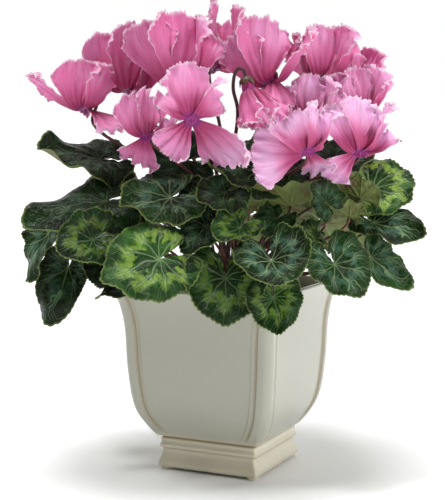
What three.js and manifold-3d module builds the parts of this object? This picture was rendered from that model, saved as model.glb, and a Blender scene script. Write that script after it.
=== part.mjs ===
// A florist's cyclamen in a square ceramic pot. Millimetres, +Z up.
// The origin is on the floor under the middle of the pot, whose sides face X and Y.
import * as THREE from 'three';
import { mergeVertices } from 'three/addons/utils/BufferGeometryUtils.js';
import Module from 'manifold-3d';

const wasm = await Module();
wasm.setup();

// Driving dimensions of the pot. A half is measured from the middle to the flat of a side.
const PAD_HEIGHT = 2.5;
const PAD_RADIUS = 5.5;
const PAD_INSET = 7;
const FOOT_HALF = 52.5;
const WALL = 6;
const FLOOR_THICKNESS = 7;
const CORNER_RADIUS = 8;
const FOOT_CORNER_RADIUS = 3;
const BAND_WIDTH = 14;
const BAND_BEVEL = 1.6;
const PANEL_RECESS = 1.5;
const POT_HEIGHT = 178.5;
const SOIL_TOP = 163;
const GAP = 0.35;

// The plant is laid out with its best side towards -Y, then turned this far on the pot.
const PLANT_TURN = THREE.MathUtils.degToRad(25.5);
const BLADE_THICKNESS = 0.8;
const PETAL_THICKNESS = 0.8;
const PETIOLE_RADIUS = 1.5;
const STALK_RADIUS = 1.6;
const TUBER = { radius: 30, height: 17, middle: 159 };

// Small tools
const vec = ([x, y, z]) => new THREE.Vector3(x, y, z);
const rad = THREE.MathUtils.degToRad;
const smooth = THREE.MathUtils.smoothstep;

// Draws repeatable numbers between -1 and 1.
function seeded(seed) {
  let state = seed * 2654435761 % 4294967296;
  return () => {
    state = (state * 1664525 + 1013904223) % 4294967296;
    return state / 2147483648 - 1;
  };
}

// Manifold solid of a closed three.js geometry.
function solidOf(geometry) {
  const bare = geometry.clone();
  bare.deleteAttribute('normal');
  bare.deleteAttribute('uv');
  const merged = mergeVertices(bare, 1e-4);
  const vertProperties = new Float32Array(merged.getAttribute('position').array);
  const triVerts = new Uint32Array(merged.getIndex().array);
  return new wasm.Manifold(new wasm.Mesh({ numProp: 3, vertProperties, triVerts }));
}

function geometryOf(solid) {
  const { vertProperties, triVerts, numProp } = solid.getMesh();
  const positions = [];
  for (let i = 0; i < vertProperties.length; i += numProp) {
    positions.push(vertProperties[i], vertProperties[i + 1], vertProperties[i + 2]);
  }
  return closedGeometry(positions, Array.from(triVerts));
}

function closedGeometry(positions, indices) {
  const geometry = new THREE.BufferGeometry();
  geometry.setAttribute('position', new THREE.Float32BufferAttribute(positions, 3));
  geometry.setIndex(indices);
  geometry.computeVertexNormals();
  return geometry;
}

const join = (geometries) => geometryOf(geometries.map(solidOf).reduce((sum, one) => sum.add(one)));

// Skin over level rings of points with the same count, closed by a fan at each end.
function loft(rings) {
  const count = rings[0].points.length;
  const positions = [];
  for (const { height, points } of rings) {
    for (const [x, y] of points) positions.push(x, y, height);
  }
  const bottom = rings.length * count;
  positions.push(0, 0, rings[0].height, 0, 0, rings[rings.length - 1].height);
  const indices = [];
  for (let j = 0; j < count; j++) {
    const next = (j + 1) % count;
    for (let i = 0; i + 1 < rings.length; i++) {
      const low = i * count;
      const high = low + count;
      indices.push(low + j, low + next, high + next, low + j, high + next, high + j);
    }
    const top = (rings.length - 1) * count;
    indices.push(bottom, next, j, bottom + 1, top + j, top + next);
  }
  return closedGeometry(positions, indices);
}

// Extrudes a round section along a curve, in even steps of the curve's parameter.
function tube(curve, radius, sides, steps) {
  curve.getUtoTmapping = (share) => share;
  const section = new THREE.Shape();
  for (let i = 0; i < sides; i++) {
    const angle = (i / sides) * 2 * Math.PI;
    const point = [radius * Math.cos(angle), radius * Math.sin(angle)];
    if (i === 0) section.moveTo(...point);
    else section.lineTo(...point);
  }
  return new THREE.ExtrudeGeometry(section, { steps, extrudePath: curve });
}

// Pot

const quarterTurns = [([x, y]) => [x, y], ([x, y]) => [-y, x], ([x, y]) => [-x, -y], ([x, y]) => [y, -x]];

// Square ring with rounded corners that stand proud of the side panels as bands.
function bandedSquare(half, radius, recess) {
  const corner = [[half - recess, half - BAND_WIDTH], [half, half - BAND_WIDTH + BAND_BEVEL]];
  for (const angle of [0, 45, 90]) {
    const reach = half - radius;
    corner.push([reach + radius * Math.cos(rad(angle)), reach + radius * Math.sin(rad(angle))]);
  }
  corner.push([half - BAND_WIDTH + BAND_BEVEL, half], [half - BAND_WIDTH, half - recess]);
  return quarterTurns.flatMap((turn) => corner.map(turn));
}

function plainSquare(half, radius) {
  const reach = half - radius;
  const corner = [0, 45, 90].map((angle) => (
    [reach + radius * Math.cos(rad(angle)), reach + radius * Math.sin(rad(angle))]
  ));
  return quarterTurns.flatMap((turn) => corner.map(turn));
}

// Foot, from the floor up: half side and height above the pads.
const footProfile = [
  [FOOT_HALF - 1, 0], [FOOT_HALF, 2], [FOOT_HALF, 5], [FOOT_HALF - 2.6, 10.5], [FOOT_HALF - 3.8, 18],
  [FOOT_HALF - 1.6, 19.8], [FOOT_HALF - 1.6, 22], [FOOT_HALF - 2.3, 22.8], [FOOT_HALF - 2.3, 28],
  [FOOT_HALF - 4, 29.4],
];

// Bowl, from its lower edge to the flared rim.
const bowlCurve = new THREE.CatmullRomCurve3(
  [[53.5, 31], [62, 42], [70, 59], [75, 97], [77, 138], [80.5, 160], [85, 174]]
    .map(([half, height]) => new THREE.Vector3(half, 0, height)),
);
const BOWL_STEPS = 8;
const bowlProfile = Array.from({ length: BOWL_STEPS + 1 }, (_, i) => bowlCurve.getPoint(i / BOWL_STEPS))
  .map((point) => [point.x, point.z]);
const RIM_HALF = 85;

function potOutside() {
  const foot = footProfile.map(([half, height]) => ({
    height: height + PAD_HEIGHT, points: bandedSquare(half, FOOT_CORNER_RADIUS, 0),
  }));
  const bowl = bowlProfile.map(([half, height], i) => {
    const strength = smooth(i, 0, 1.5);
    const radius = FOOT_CORNER_RADIUS + (CORNER_RADIUS - FOOT_CORNER_RADIUS) * strength;
    return { height: height + PAD_HEIGHT, points: bandedSquare(half, radius, PANEL_RECESS * strength) };
  });
  const lip = { height: POT_HEIGHT, points: bandedSquare(RIM_HALF - 1, CORNER_RADIUS, PANEL_RECESS) };
  return loft([...foot, ...bowl, lip]);
}

// Inside of the pot up to a level, drawn in by a clearance.
function potInside(top, clearance) {
  const floor = PAD_HEIGHT + FLOOR_THICKNESS + clearance;
  const footHalf = FOOT_HALF - 3.8 - WALL;
  const rings = [{ height: floor, half: footHalf }, { height: 34, half: footHalf }];
  for (const [half, height] of bowlProfile.filter((_, i) => i > 0 && i % 2 === 0)) {
    const level = height + PAD_HEIGHT;
    if (level < top - 1) rings.push({ height: level + 2, half: half - WALL - PANEL_RECESS });
  }
  const flare = 7 * ((top - 140) / (POT_HEIGHT - 140)) ** 1.6;
  rings.push({ height: top, half: 77 - WALL - PANEL_RECESS + flare });
  return loft(rings.map(({ height, half }) => (
    { height, points: plainSquare(half - clearance, CORNER_RADIUS) }
  )));
}

function potGeometry() {
  let pot = solidOf(potOutside()).subtract(solidOf(potInside(POT_HEIGHT + 1, 0)));
  const place = FOOT_HALF - PAD_INSET;
  for (const [x, y] of [[place, place], [-place, place], [-place, -place], [place, -place]]) {
    const pad = new THREE.CylinderGeometry(PAD_RADIUS, PAD_RADIUS, PAD_HEIGHT + 1, 12);
    pad.rotateX(Math.PI / 2).translate(x, y, (PAD_HEIGHT + 1) / 2);
    pot = pot.add(solidOf(pad));
  }
  return geometryOf(pot);
}

// Tuber and soil

function tuberGeometry(clearance) {
  const tuber = new THREE.SphereGeometry(1, 12, 7).rotateX(Math.PI / 2);
  const radius = TUBER.radius + clearance;
  return tuber.scale(radius, radius, TUBER.height + clearance).translate(0, 0, TUBER.middle);
}

// The soil fills the pot and has a plain hole for the tuber.
function soilGeometry() {
  const hole = tuberGeometry(GAP).rotateZ(PLANT_TURN);
  return geometryOf(solidOf(potInside(SOIL_TOP, GAP)).subtract(solidOf(hole)));
}

// Leaves

// Half of the notch between a blade's two back lobes, in radians.
const NOTCH = 0.16;
const BLADE_END = Math.PI - NOTCH;

// Reach of a blade at an angle from its tip, as a share of its length.
function bladeOutline(angle, round) {
  const size = Math.abs(angle);
  const lobe = 1 - 0.06 * Math.sin(size / 2) ** 2 - 0.3 * smooth(size, 2.6, BLADE_END);
  return round * lobe + (1 - round) * Math.exp(-((size / 0.62) ** 2));
}

// Point of a blade's upper face. share runs from the leaf stalk's end, 0, to the edge, 1.
function bladePoint(leaf, angle, share) {
  const reach = share * bladeOutline(angle, leaf.round);
  const x = reach * Math.cos(angle);
  const y = reach * Math.sin(angle);
  const rise = leaf.cup * reach ** 2
    + leaf.lift * Math.max(0, x) ** 2
    + leaf.heel * Math.max(0, -x) ** 2
    + leaf.fold * (Math.hypot(y, 0.15) - 0.15)
    + leaf.wave * share ** 3 * Math.sin(leaf.waves * angle + leaf.phase);
  return leaf.at.clone()
    .addScaledVector(leaf.forward, x * leaf.length)
    .addScaledVector(leaf.side, y * leaf.length)
    .addScaledVector(leaf.face, rise * leaf.length);
}

const BLADE_SECTORS = 18;
const INNER_SHARE = 0.55;
const TOOTH_DEPTH = 0.045;

function bladeGeometry(leaf) {
  const upper = [bladePoint(leaf, 0, 0)];
  const inner = BLADE_SECTORS / 2;
  for (let i = 0; i <= inner; i++) {
    upper.push(bladePoint(leaf, (i / inner * 2 - 1) * BLADE_END, INNER_SHARE));
  }
  for (let i = 0; i <= BLADE_SECTORS; i++) {
    upper.push(bladePoint(leaf, (i / BLADE_SECTORS * 2 - 1) * BLADE_END, 1 - TOOTH_DEPTH * (i % 2)));
  }
  const faces = [];
  const edge = inner + 2;
  for (let i = 0; i < inner; i++) {
    const near = 1 + i;
    const far = edge + 2 * i;
    faces.push([0, near, near + 1], [near, far, far + 1], [near, far + 1, near + 1]);
    faces.push([near + 1, far + 1, far + 2]);
  }
  const border = [0, 1];
  for (let i = 0; i <= BLADE_SECTORS; i++) border.push(edge + i);
  border.push(inner + 1);
  const lower = upper.map((point) => point.clone().addScaledVector(leaf.face, -BLADE_THICKNESS));
  return sheetGeometry(upper, lower, faces, border);
}

// Closes two like faces of a thin sheet with a wall along their border.
function sheetGeometry(upper, lower, faces, border) {
  const under = upper.length;
  const positions = [...upper, ...lower].flatMap((point) => point.toArray());
  const indices = faces.flatMap(([a, b, c]) => [a, b, c, under + a, under + c, under + b]);
  border.forEach((from, i) => {
    const to = border[(i + 1) % border.length];
    indices.push(under + from, under + to, to, under + from, to, from);
  });
  return closedGeometry(positions, indices);
}

// Where each leaf stalk meets its blade, the blade's tip, and the way the blade faces.
const leafList = [
  // Upper left
  { at: [-123, -18, 298], tip: [-180, -32, 303], face: [-0.2, -0.5, 0.85], heel: -0.2, round: 0.66 },
  { at: [-114, -56, 261], tip: [-187, -74, 243], face: [-0.2, -0.6, 0.77], round: 0.56, cup: -0.12,
    rise: 88, bend: 12 },
  { at: [-88, 20, 270], tip: [-133, 10, 278], face: [0, 0.2, 1], round: 0.66 },
  // Left side
  { at: [-122, -97, 230], tip: [-154, -114, 220], face: [-0.15, -0.95, 0.3], round: 0.76, cup: 0.2,
    rise: 60 },
  { at: [-174, -10, 228], tip: [-191, -22, 182], face: [-0.75, -0.6, 0.3], round: 0.56 },
  { at: [-150, -54, 200], tip: [-168, -66, 148], face: [-0.2, -0.95, 0.1], round: 0.52 },
  { at: [-115, -72, 205], tip: [-117, -82, 183], face: [0, -0.95, 0.3], round: 0.85 },
  { at: [-80, -72, 185], tip: [-120, -86, 172], face: [0, -0.15, 0.98], round: 0.5,
    over: [-0.6, -0.5, 0.3] },
  // Middle front
  { at: [-62, -113, 214], tip: [-110, -134, 198], face: [-0.25, -0.9, 0.35], round: 0.76, cup: 0.1 },
  { at: [-54, -68, 265], tip: [-97, -92, 252], face: [0, -0.55, 0.83], round: 0.62 },
  { at: [-40, -18, 298], tip: [-84, -22, 301], face: [0.05, -0.97, 0.25], round: 0.58 },
  { at: [26, -48, 288], tip: [-20, -62, 292], face: [0, -0.55, 0.83], round: 0.56 },
  { at: [-24, -58, 258], tip: [-36, -74, 232], face: [-0.4, -0.8, 0.45], round: 0.66 },
  { at: [-21, -86, 240], tip: [-42, -102, 217], face: [-0.3, -0.9, 0.3], round: 0.66 },
  { at: [9, -96, 240], tip: [-14, -114, 224], face: [-0.2, -0.85, 0.5], round: 0.72, cup: 0.35 },
  { at: [56, -54, 257], tip: [6, -68, 266], face: [0, 0.6, 0.8], round: 0.46 },
  { at: [-4, -108, 196], tip: [-4, -128, 156], face: [0, -0.9, 0.42], round: 0.88,
    over: [0, -0.8, -0.4] },
  { at: [36, -124, 214], tip: [45, -150, 190], face: [0, -0.85, 0.5], round: 1, lift: 0.1 },
  { at: [38, -120, 181], tip: [42, -130, 149], face: [0, -0.92, 0.38], round: 0.8,
    over: [0.2, -0.7, -0.7] },
  // Right side
  { at: [94, -91, 207], tip: [114, -109, 176], face: [0.3, -0.85, 0.4], round: 0.7 },
  { at: [130, -60, 210], tip: [160, -80, 177], face: [0.3, -0.75, 0.6], round: 0.5 },
  { at: [139, -10, 238], tip: [181, -34, 218], face: [0.1, -0.6, 0.8], round: 0.62 },
  { at: [141, 16, 270], tip: [174, -4, 254], face: [0.1, -0.75, 0.65], round: 0.8 },
  { at: [124, -20, 262], tip: [104, -34, 284], face: [-0.2, 0.4, 0.9], round: 0.56 },
  { at: [87, -78, 261], tip: [71, -88, 280], face: [0, -0.85, 0.5], round: 0.76 },
  { at: [112, -40, 246], tip: [74, -48, 251], face: [0, 0.4, 0.92], round: 0.46 },
  { at: [80, -66, 228], tip: [62, -83, 238], face: [0, -0.7, 0.7], round: 0.76 },
  { at: [43, -72, 246], tip: [23, -88, 234], face: [0, -0.7, 0.7], round: 0.7 },
  // Between the rest, deeper in the plant
  { at: [-76, -40, 234], tip: [-104, -46, 228], face: [-0.1, -0.6, 0.8], round: 0.6 },
  { at: [98, -3, 293], tip: [138, -18, 297], face: [0.1, -0.5, 0.85], round: 0.64 },
  { at: [70, -27, 283], tip: [46, -44, 286], face: [0, -0.6, 0.8], round: 0.64 },
  { at: [-4, -80, 270], tip: [-30, -98, 262], face: [-0.2, -0.8, 0.55], round: 0.78, rise: 70 },
];

// The far side has the same kinds of leaf, in two tiers of shingles that follow the pot round.
const farTiers = [
  { count: 5, from: 32, to: 158, reach: 116, height: 230, drop: 30, length: 60 },
  { count: 3, from: 44, to: 116, reach: 72, height: 280, drop: 8, length: 54 },
];
const SHINGLE_ROLL = 0.42;

function farLeaves() {
  const draw = seeded(7);
  return farTiers.flatMap(({ count, from, to, reach, height, drop, length }) => (
    Array.from({ length: count }, (_, i) => {
      const angle = rad(from + (to - from) * i / (count - 1));
      const out = reach + 4 * draw();
      const [x, y] = [Math.cos(angle), Math.sin(angle)];
      const at = [out * x, out * y, height + 4 * draw()];
      const tip = [(out + length) * x, (out + length) * y, at[2] - drop];
      return { at, tip, face: [-SHINGLE_ROLL * y, SHINGLE_ROLL * x, 0.9], round: 0.7, cup: -0.08 };
    })
  ));
}

function finishLeaf(row, index) {
  const draw = seeded(index + 1);
  const at = vec(row.at);
  const along = vec(row.tip).sub(at);
  const length = along.length();
  const forward = along.normalize();
  const face = vec(row.face);
  face.addScaledVector(forward, -face.dot(forward)).normalize();
  const side = face.clone().cross(forward);
  const form = { round: 0.62, cup: 0.05, lift: 0, heel: 0, fold: 0.05, wave: 0.035, waves: 4, ...row };
  return { ...form, at, length, forward, face, side, phase: Math.PI * draw() };
}

const leaves = [...leafList, ...farLeaves()].map(finishLeaf);

// Angles on the tuber for stems that lean towards given angles, spread apart in the same order.
function spreadAngles(angles) {
  const order = angles.map((_, i) => i).sort((i, j) => angles[i] - angles[j]);
  const even = new Map(order.map((i, place) => [i, (2 * place + 1) / angles.length * Math.PI - Math.PI]));
  return angles.map((angle, i) => 0.4 * angle + 0.6 * even.get(i));
}

// Leaf stalks grow in two rings on the tuber, those of the high leaves inside, and bend over to
// the backs of their blades. Those of low leaves reach over the rim of the pot.
const HIGH_LEAF = 252;
const leafRings = [
  { radius: 16, members: leaves.filter((leaf) => leaf.at.z >= HIGH_LEAF) },
  { radius: 23.5, members: leaves.filter((leaf) => leaf.at.z < HIGH_LEAF) },
];
for (const { radius, members } of leafRings) {
  const angles = spreadAngles(members.map(({ at }) => Math.atan2(at.y, at.x)));
  members.forEach((leaf, i) => { leaf.root = crownPoint(angles[i], radius); });
}

function petioleCurve(leaf) {
  const approach = leaf.over ? vec(leaf.over).normalize() : leaf.face;
  const standoff = BLADE_THICKNESS + GAP + PETIOLE_RADIUS * Math.sin(approach.angleTo(leaf.face));
  const end = leaf.at.clone().addScaledVector(leaf.face, -standoff);
  const { root } = leaf;
  const spread = Math.hypot(end.x, end.y);
  const rise = leaf.rise ?? Math.max(25, 0.5 * (end.z - root.z));
  const first = new THREE.Vector3(root.x * 1.5, root.y * 1.5, root.z + rise);
  const last = end.clone().addScaledVector(approach, -(leaf.bend ?? 0.22 * spread));
  return new THREE.CubicBezierCurve3(root, first, last, end);
}

// A point just under the tuber's top.
function crownPoint(angle, radius) {
  const height = TUBER.middle + TUBER.height * Math.sqrt(1 - (radius / TUBER.radius) ** 2) - 3;
  return new THREE.Vector3(radius * Math.cos(angle), radius * Math.sin(angle), height);
}

// Flowers

// Where each flower's mouth is, the way it opens, and how its petals lie: the angle round the
// flower and the angle back from straight up its stem, both in degrees, and the length. stem is
// the angle round the flower at which its stalk passes, and wide widens all its petals.
const bloomList = [
  { at: [-137, -15, 344], mouth: [-0.15, -0.35, -0.92], stem: 20,
    petals: [[180, 68, 58], [240, 18, 52], [115, 22, 50], [300, 14, 52], [340, 118, 44]] },
  { at: [-98, 14, 362], mouth: [0, -0.25, -0.97], stem: 60,
    petals: [[195, 16, 68], [262, 8, 72], [325, 14, 66], [15, 18, 62], [125, 14, 64]] },
  { at: [-48, -26, 371], mouth: [0.05, -0.25, -0.97], stem: 75,
    petals: [[205, 14, 68], [265, 8, 72], [330, 16, 68], [20, 18, 62], [140, 14, 64]] },
  { at: [-14, 30, 384], mouth: [0, -0.2, -0.98], stem: 240,
    petals: [[190, 16, 62], [290, 10, 64], [350, 18, 62], [50, 14, 68], [130, 12, 68]] },
  { at: [39, -22, 368], mouth: [0, -0.35, -0.94], stem: 75,
    petals: [[195, 22, 62], [245, 4, 70], [318, 40, 66], [285, 155, 44], [130, 14, 60]] },
  { at: [88, 34, 376], mouth: [0, -0.2, -0.98], stem: 200,
    petals: [[270, 14, 58], [330, 18, 60], [30, 18, 58], [95, 12, 60], [150, 14, 58]] },
  { at: [118, 96, 364], mouth: [0.2, 0.1, -0.97], stem: 220,
    petals: [[290, 20, 54], [345, 40, 56], [50, 20, 54], [110, 16, 54], [170, 16, 52]] },
  { at: [-34, -98, 335], mouth: [0.05, -0.85, -0.5], stem: 90, wide: 1.25,
    petals: [[36, 98, 54], [150, 92, 38], [212, 58, 48], [266, 60, 52], [320, 56, 48]] },
  { at: [-76, -60, 319], mouth: [0.1, -0.55, -0.83], stem: 90,
    petals: [[230, 14, 48], [280, 8, 48], [330, 18, 46], [185, 115, 42], [25, 22, 42]] },
  { at: [17, -74, 360], mouth: [0.2, -0.2, -0.96], stem: 155, aside: 14,
    petals: [[240, 166, 38], [290, 166, 44], [335, 162, 42], [20, 166, 42], [68, 166, 42]] },
  { at: [70, -87, 306], mouth: [0.25, -0.65, -0.7], stem: 90, wide: 1.2,
    petals: [[180, 88, 48], [240, 20, 46], [295, 16, 46], [345, 10, 42], [35, 30, 42]] },
  { at: [76, -21, 334], mouth: [0, -0.4, -0.9], stem: 80,
    petals: [[200, 18, 42], [260, 12, 48], [320, 16, 46], [15, 20, 46], [145, 16, 44]] },
  { at: [119, -60, 304], mouth: [0.1, -0.6, -0.8], stem: 90, wide: 1.15,
    petals: [[350, 30, 56], [295, 12, 56], [245, 14, 54], [200, 118, 32], [30, 24, 46]] },
  { at: [126, 22, 343], mouth: [0.2, -0.2, -0.96], stem: 150,
    petals: [[210, 18, 50], [265, 14, 50], [330, 24, 50], [30, 18, 50], [90, 16, 50]] },
];

const THROAT_RADIUS = 5.5;
const THROAT_HEIGHT = 10;
const CLAW_WIDTH = 5;
// Width of a petal: a fixed part and a share of its length.
const PETAL_BREADTH = [11, 0.5];
const PETAL_ROLL = 9; // radius of the bend where a petal leaves the mouth
const CALYX_HEIGHT = 4;

function finishBloom(row, index) {
  const mouth = vec(row.mouth).normalize();
  const up = mouth.clone().negate();
  const right = new THREE.Vector3(1, 0, 0).addScaledVector(mouth, -mouth.x).normalize();
  const back = right.clone().cross(mouth);
  return { ...row, at: vec(row.at), mouth, up, right, back, index };
}

const blooms = bloomList.map(finishBloom);
const STALK_RING = 9;
const stalkAngles = spreadAngles(blooms.map(({ at }) => Math.atan2(at.y, at.x)));
blooms.forEach((bloom, i) => { bloom.root = crownPoint(stalkAngles[i], STALK_RING); });

// Unit vector square to a flower's axis, at an angle in degrees round it.
function aroundBloom(bloom, degrees) {
  return bloom.right.clone().multiplyScalar(Math.cos(rad(degrees)))
    .addScaledVector(bloom.back, Math.sin(rad(degrees)));
}

// Point of a petal's middle surface. along runs from claw, 0, to tip, 1, and across from -1 to 1.
function petalPoint(bloom, petal, along, across) {
  const [degrees, flare, length] = petal.row;
  const outward = aroundBloom(bloom, degrees);
  const side = outward.clone().cross(bloom.up);
  const first = rad(-25);
  const last = rad(90 - flare);
  const rollLength = PETAL_ROLL * (last - first);
  const sense = Math.sign(rollLength);
  const tipRound = 1 - 0.12 * across ** 2 * smooth(along, 0.3, 1);
  const travelled = length * along * tipRound;
  const turned = Math.min(travelled, Math.abs(rollLength)) * sense;
  const slope = first + turned / PETAL_ROLL;
  const straight = travelled - Math.abs(turned);
  const bow = petal.bow * (straight / length) ** 2 * length;
  const out = PETAL_ROLL * (Math.sin(slope) - Math.sin(first)) * sense + straight * Math.cos(slope);
  const rise = PETAL_ROLL * (Math.cos(first) - Math.cos(slope)) * sense + straight * Math.sin(slope);
  const width = CLAW_WIDTH + (petal.width - CLAW_WIDTH) * smooth(along, -0.1, 0.8);
  const normal = outward.clone().multiplyScalar(Math.sin(slope)).addScaledVector(bloom.up, -Math.cos(slope));
  const { twist } = petal;
  const reach = across * width / 2;
  const bend = petal.camber * across ** 2 * width / 2 * smooth(along, 0, 0.5)
    + petal.ripple * smooth(along, 0.3, 1) * Math.sin(7 * across + petal.phase);
  return {
    point: bloom.at.clone()
      .addScaledVector(outward, THROAT_RADIUS - 1 + out)
      .addScaledVector(bloom.up, 2 + rise)
      .addScaledVector(side, reach * Math.cos(twist) - bend * Math.sin(twist))
      .addScaledVector(normal, reach * Math.sin(twist) + bend * Math.cos(twist) + bow),
    normal: normal.clone().multiplyScalar(Math.cos(twist)).addScaledVector(side, -Math.sin(twist)),
  };
}

// A petal widens from two points at its claw to five along its frilled end.
const PETAL_ROWS = [0, 0.25, 0.62, 1];
const FRILL = 0.05;

function petalGeometry(bloom, petal) {
  const rows = PETAL_ROWS.map((along, i) => (
    Array.from({ length: i + 2 }, (_, j) => {
      const frilled = along === 1 ? 1 - FRILL * (j % 2) : along;
      return petalPoint(bloom, petal, frilled, 2 * j / (i + 1) - 1);
    })
  ));
  const first = rows.map((_, i) => i * (i + 3) / 2);
  const faces = [];
  for (let i = 0; i + 1 < rows.length; i++) {
    for (let j = 0; j < rows[i].length; j++) {
      faces.push([first[i] + j, first[i + 1] + j, first[i + 1] + j + 1]);
      if (j + 1 < rows[i].length) faces.push([first[i] + j, first[i + 1] + j + 1, first[i] + j + 1]);
    }
  }
  const last = rows.length - 1;
  const border = [
    ...rows.map((_, i) => first[i]),
    ...rows[last].slice(1).map((_, j) => first[last] + j + 1),
    ...rows.slice(0, last).map((row, i) => first[i] + row.length - 1).reverse(),
  ];
  const points = rows.flat();
  const half = PETAL_THICKNESS / 2;
  const upper = points.map(({ point, normal }) => point.clone().addScaledVector(normal, half));
  const lower = points.map(({ point, normal }) => point.clone().addScaledVector(normal, -half));
  return sheetGeometry(upper, lower, faces, border);
}

// Turns a lathed shape from +Z to a flower's stem side and puts it at the mouth.
function placeOnBloom(geometry, bloom) {
  const turn = new THREE.Quaternion().setFromUnitVectors(new THREE.Vector3(0, 0, 1), bloom.up);
  return geometry.rotateX(Math.PI / 2).applyQuaternion(turn).translate(...bloom.at.toArray());
}

function lathe(profile, sides) {
  return new THREE.LatheGeometry(profile.map(([radius, height]) => new THREE.Vector2(radius, height)), sides);
}

function bloomGeometry(bloom) {
  const draw = seeded(100 + bloom.index);
  const throat = lathe([
    [0, THROAT_HEIGHT / 2], [THROAT_RADIUS - 1.8, 0], [THROAT_RADIUS, 0],
    [THROAT_RADIUS - 0.5, THROAT_HEIGHT], [0, THROAT_HEIGHT],
  ], 5);
  const petals = bloom.petals.map((row) => petalGeometry(bloom, {
    row,
    width: (PETAL_BREADTH[0] + PETAL_BREADTH[1] * row[2]) * (bloom.wide ?? 1) + 3 * draw(),
    twist: 0.55 + 0.08 * draw(),
    camber: 0.12 + 0.06 * draw(),
    ripple: 1.5,
    bow: 0.12 * draw(),
    phase: Math.PI * draw(),
  }));
  return join([placeOnBloom(throat, bloom), ...petals]);
}

// Flower stalks rise from the middle of the tuber, pass between two petals and hook over.
function stalkCurve(bloom) {
  const aside = aroundBloom(bloom, bloom.stem);
  const hookHeight = THROAT_HEIGHT + CALYX_HEIGHT + 10;
  const from = (out, up) => bloom.at.clone().addScaledVector(aside, out).addScaledVector(bloom.up, up);
  const start = bloom.root;
  const { aside: reach = 10.5 } = bloom;
  const below = from(reach, -12);
  const first = new THREE.Vector3(start.x, start.y, start.z + 45);
  const middle = new THREE.Vector3(0.38 * below.x, 0.38 * below.y, start.z + 0.72 * (below.z - start.z));
  return new THREE.CatmullRomCurve3([
    start, first, middle, below, from(reach, 8), from(9, hookHeight - 3), from(4.5, hookHeight),
    from(0.6, hookHeight - 3), from(0, THROAT_HEIGHT + CALYX_HEIGHT - 1),
  ], false, 'centripetal');
}

function calyxGeometry(bloom) {
  const low = THROAT_HEIGHT + GAP;
  return placeOnBloom(lathe([
    [0, low], [THROAT_RADIUS, low], [THROAT_RADIUS - 1, low + 2.4], [STALK_RADIUS, low + CALYX_HEIGHT],
    [0, low + CALYX_HEIGHT],
  ], 5), bloom);
}

// The tuber with the leaf stalks and flower stalks that grow from it.
function crownGeometry() {
  const petioles = leaves.map((leaf) => tube(petioleCurve(leaf), PETIOLE_RADIUS, 4, 5));
  const stalks = blooms.map((bloom) => tube(stalkCurve(bloom), STALK_RADIUS, 4, 11));
  return join([tuberGeometry(0), ...petioles, ...stalks, ...blooms.map(calyxGeometry)]);
}

// Assembly

const finish = (color, roughness) => new THREE.MeshStandardMaterial({ color, roughness, metalness: 0 });
const number = (index) => String(index + 1).padStart(2, '0');

function piece(name, geometry, material) {
  const mesh = new THREE.Mesh(geometry, material);
  mesh.name = name;
  return mesh;
}

const cyclamen = new THREE.Group();
cyclamen.add(piece('pot', potGeometry(), finish('#dcdacb', 0.22)));
cyclamen.add(piece('soil', soilGeometry(), finish('#3a2a1e', 0.95)));

const plant = new THREE.Group();
plant.rotation.z = PLANT_TURN;
plant.add(piece('tuber_and_stems', crownGeometry(), finish('#5a2f2a', 0.5)));
leaves.forEach((leaf, i) => {
  plant.add(piece(`leaf_${number(i)}`, bladeGeometry(leaf), finish('#2f5a34', 0.45)));
});
blooms.forEach((bloom, i) => {
  plant.add(piece(`bloom_${number(i)}`, bloomGeometry(bloom), finish('#dd7fb2', 0.55)));
});
cyclamen.add(plant);

export default cyclamen;
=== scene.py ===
"""A florist's cyclamen in a square glazed pot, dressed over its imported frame.

The plant and the pot are worked out in millimetres, with the plant's best side towards -Y. The
plant is then turned on the pot, and both are written in metres. The stage is given in metres.
"""

from functools import partial
import math

import bpy
import numpy as np
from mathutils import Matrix, Vector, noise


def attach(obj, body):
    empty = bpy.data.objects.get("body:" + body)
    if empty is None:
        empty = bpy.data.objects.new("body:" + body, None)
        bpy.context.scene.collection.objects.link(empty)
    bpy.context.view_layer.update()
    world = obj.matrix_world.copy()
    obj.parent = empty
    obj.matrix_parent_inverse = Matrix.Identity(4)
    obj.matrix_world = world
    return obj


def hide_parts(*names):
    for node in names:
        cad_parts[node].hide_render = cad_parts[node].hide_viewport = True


bl_info = {
    "name": "Potted cyclamen",
    "version": (1, 0, 0),
    "blender": (4, 5, 0),
    "location": "View3D > Sidebar > Cyclamen",
    "description": "Builds the leaves, flowers, stems, soil and glazed pot over the packed frame",
    "category": "Add Mesh",
}

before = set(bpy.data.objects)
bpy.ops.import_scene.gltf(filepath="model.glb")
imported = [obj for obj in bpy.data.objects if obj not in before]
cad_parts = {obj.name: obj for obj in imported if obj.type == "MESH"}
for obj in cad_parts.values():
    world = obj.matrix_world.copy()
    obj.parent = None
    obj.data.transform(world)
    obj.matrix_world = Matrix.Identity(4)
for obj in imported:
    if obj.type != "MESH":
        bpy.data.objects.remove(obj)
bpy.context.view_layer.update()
MM = 0.001
PLANT_TURN = math.radians(25.5)

# Sizes of the pot in mm, as in the part's source
PAD_HEIGHT = 2.5
PAD_RADIUS = 5.5
PAD_PLACE = 45.5
WALL = 6
CORNER_RADIUS = 8
FOOT_CORNER_RADIUS = 3
PANEL_RECESS = 1.5
POT_HEIGHT = 178.5
SOIL_TOP = 163
GAP = 0.35

# Sizes of the plant in mm
TUBER_RADIUS = 30
TUBER_HEIGHT = 17
TUBER_MIDDLE = 159
THROAT_RADIUS = 5.5
THROAT_HEIGHT = 10
CALYX_HEIGHT = 4
CLAW_WIDTH = 7.6
PETAL_ROLL = 9
# How far from the tuber's middle stalks rise: those of flowers, of leaves higher than HIGH_LEAF and
# of the others
STALK_RING = 9
HIGH_RING = 16
LOW_RING = 23.5
HIGH_LEAF = 252
# How far under the tuber's skin a stalk starts
ROOT_DEPTH = 3

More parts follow.
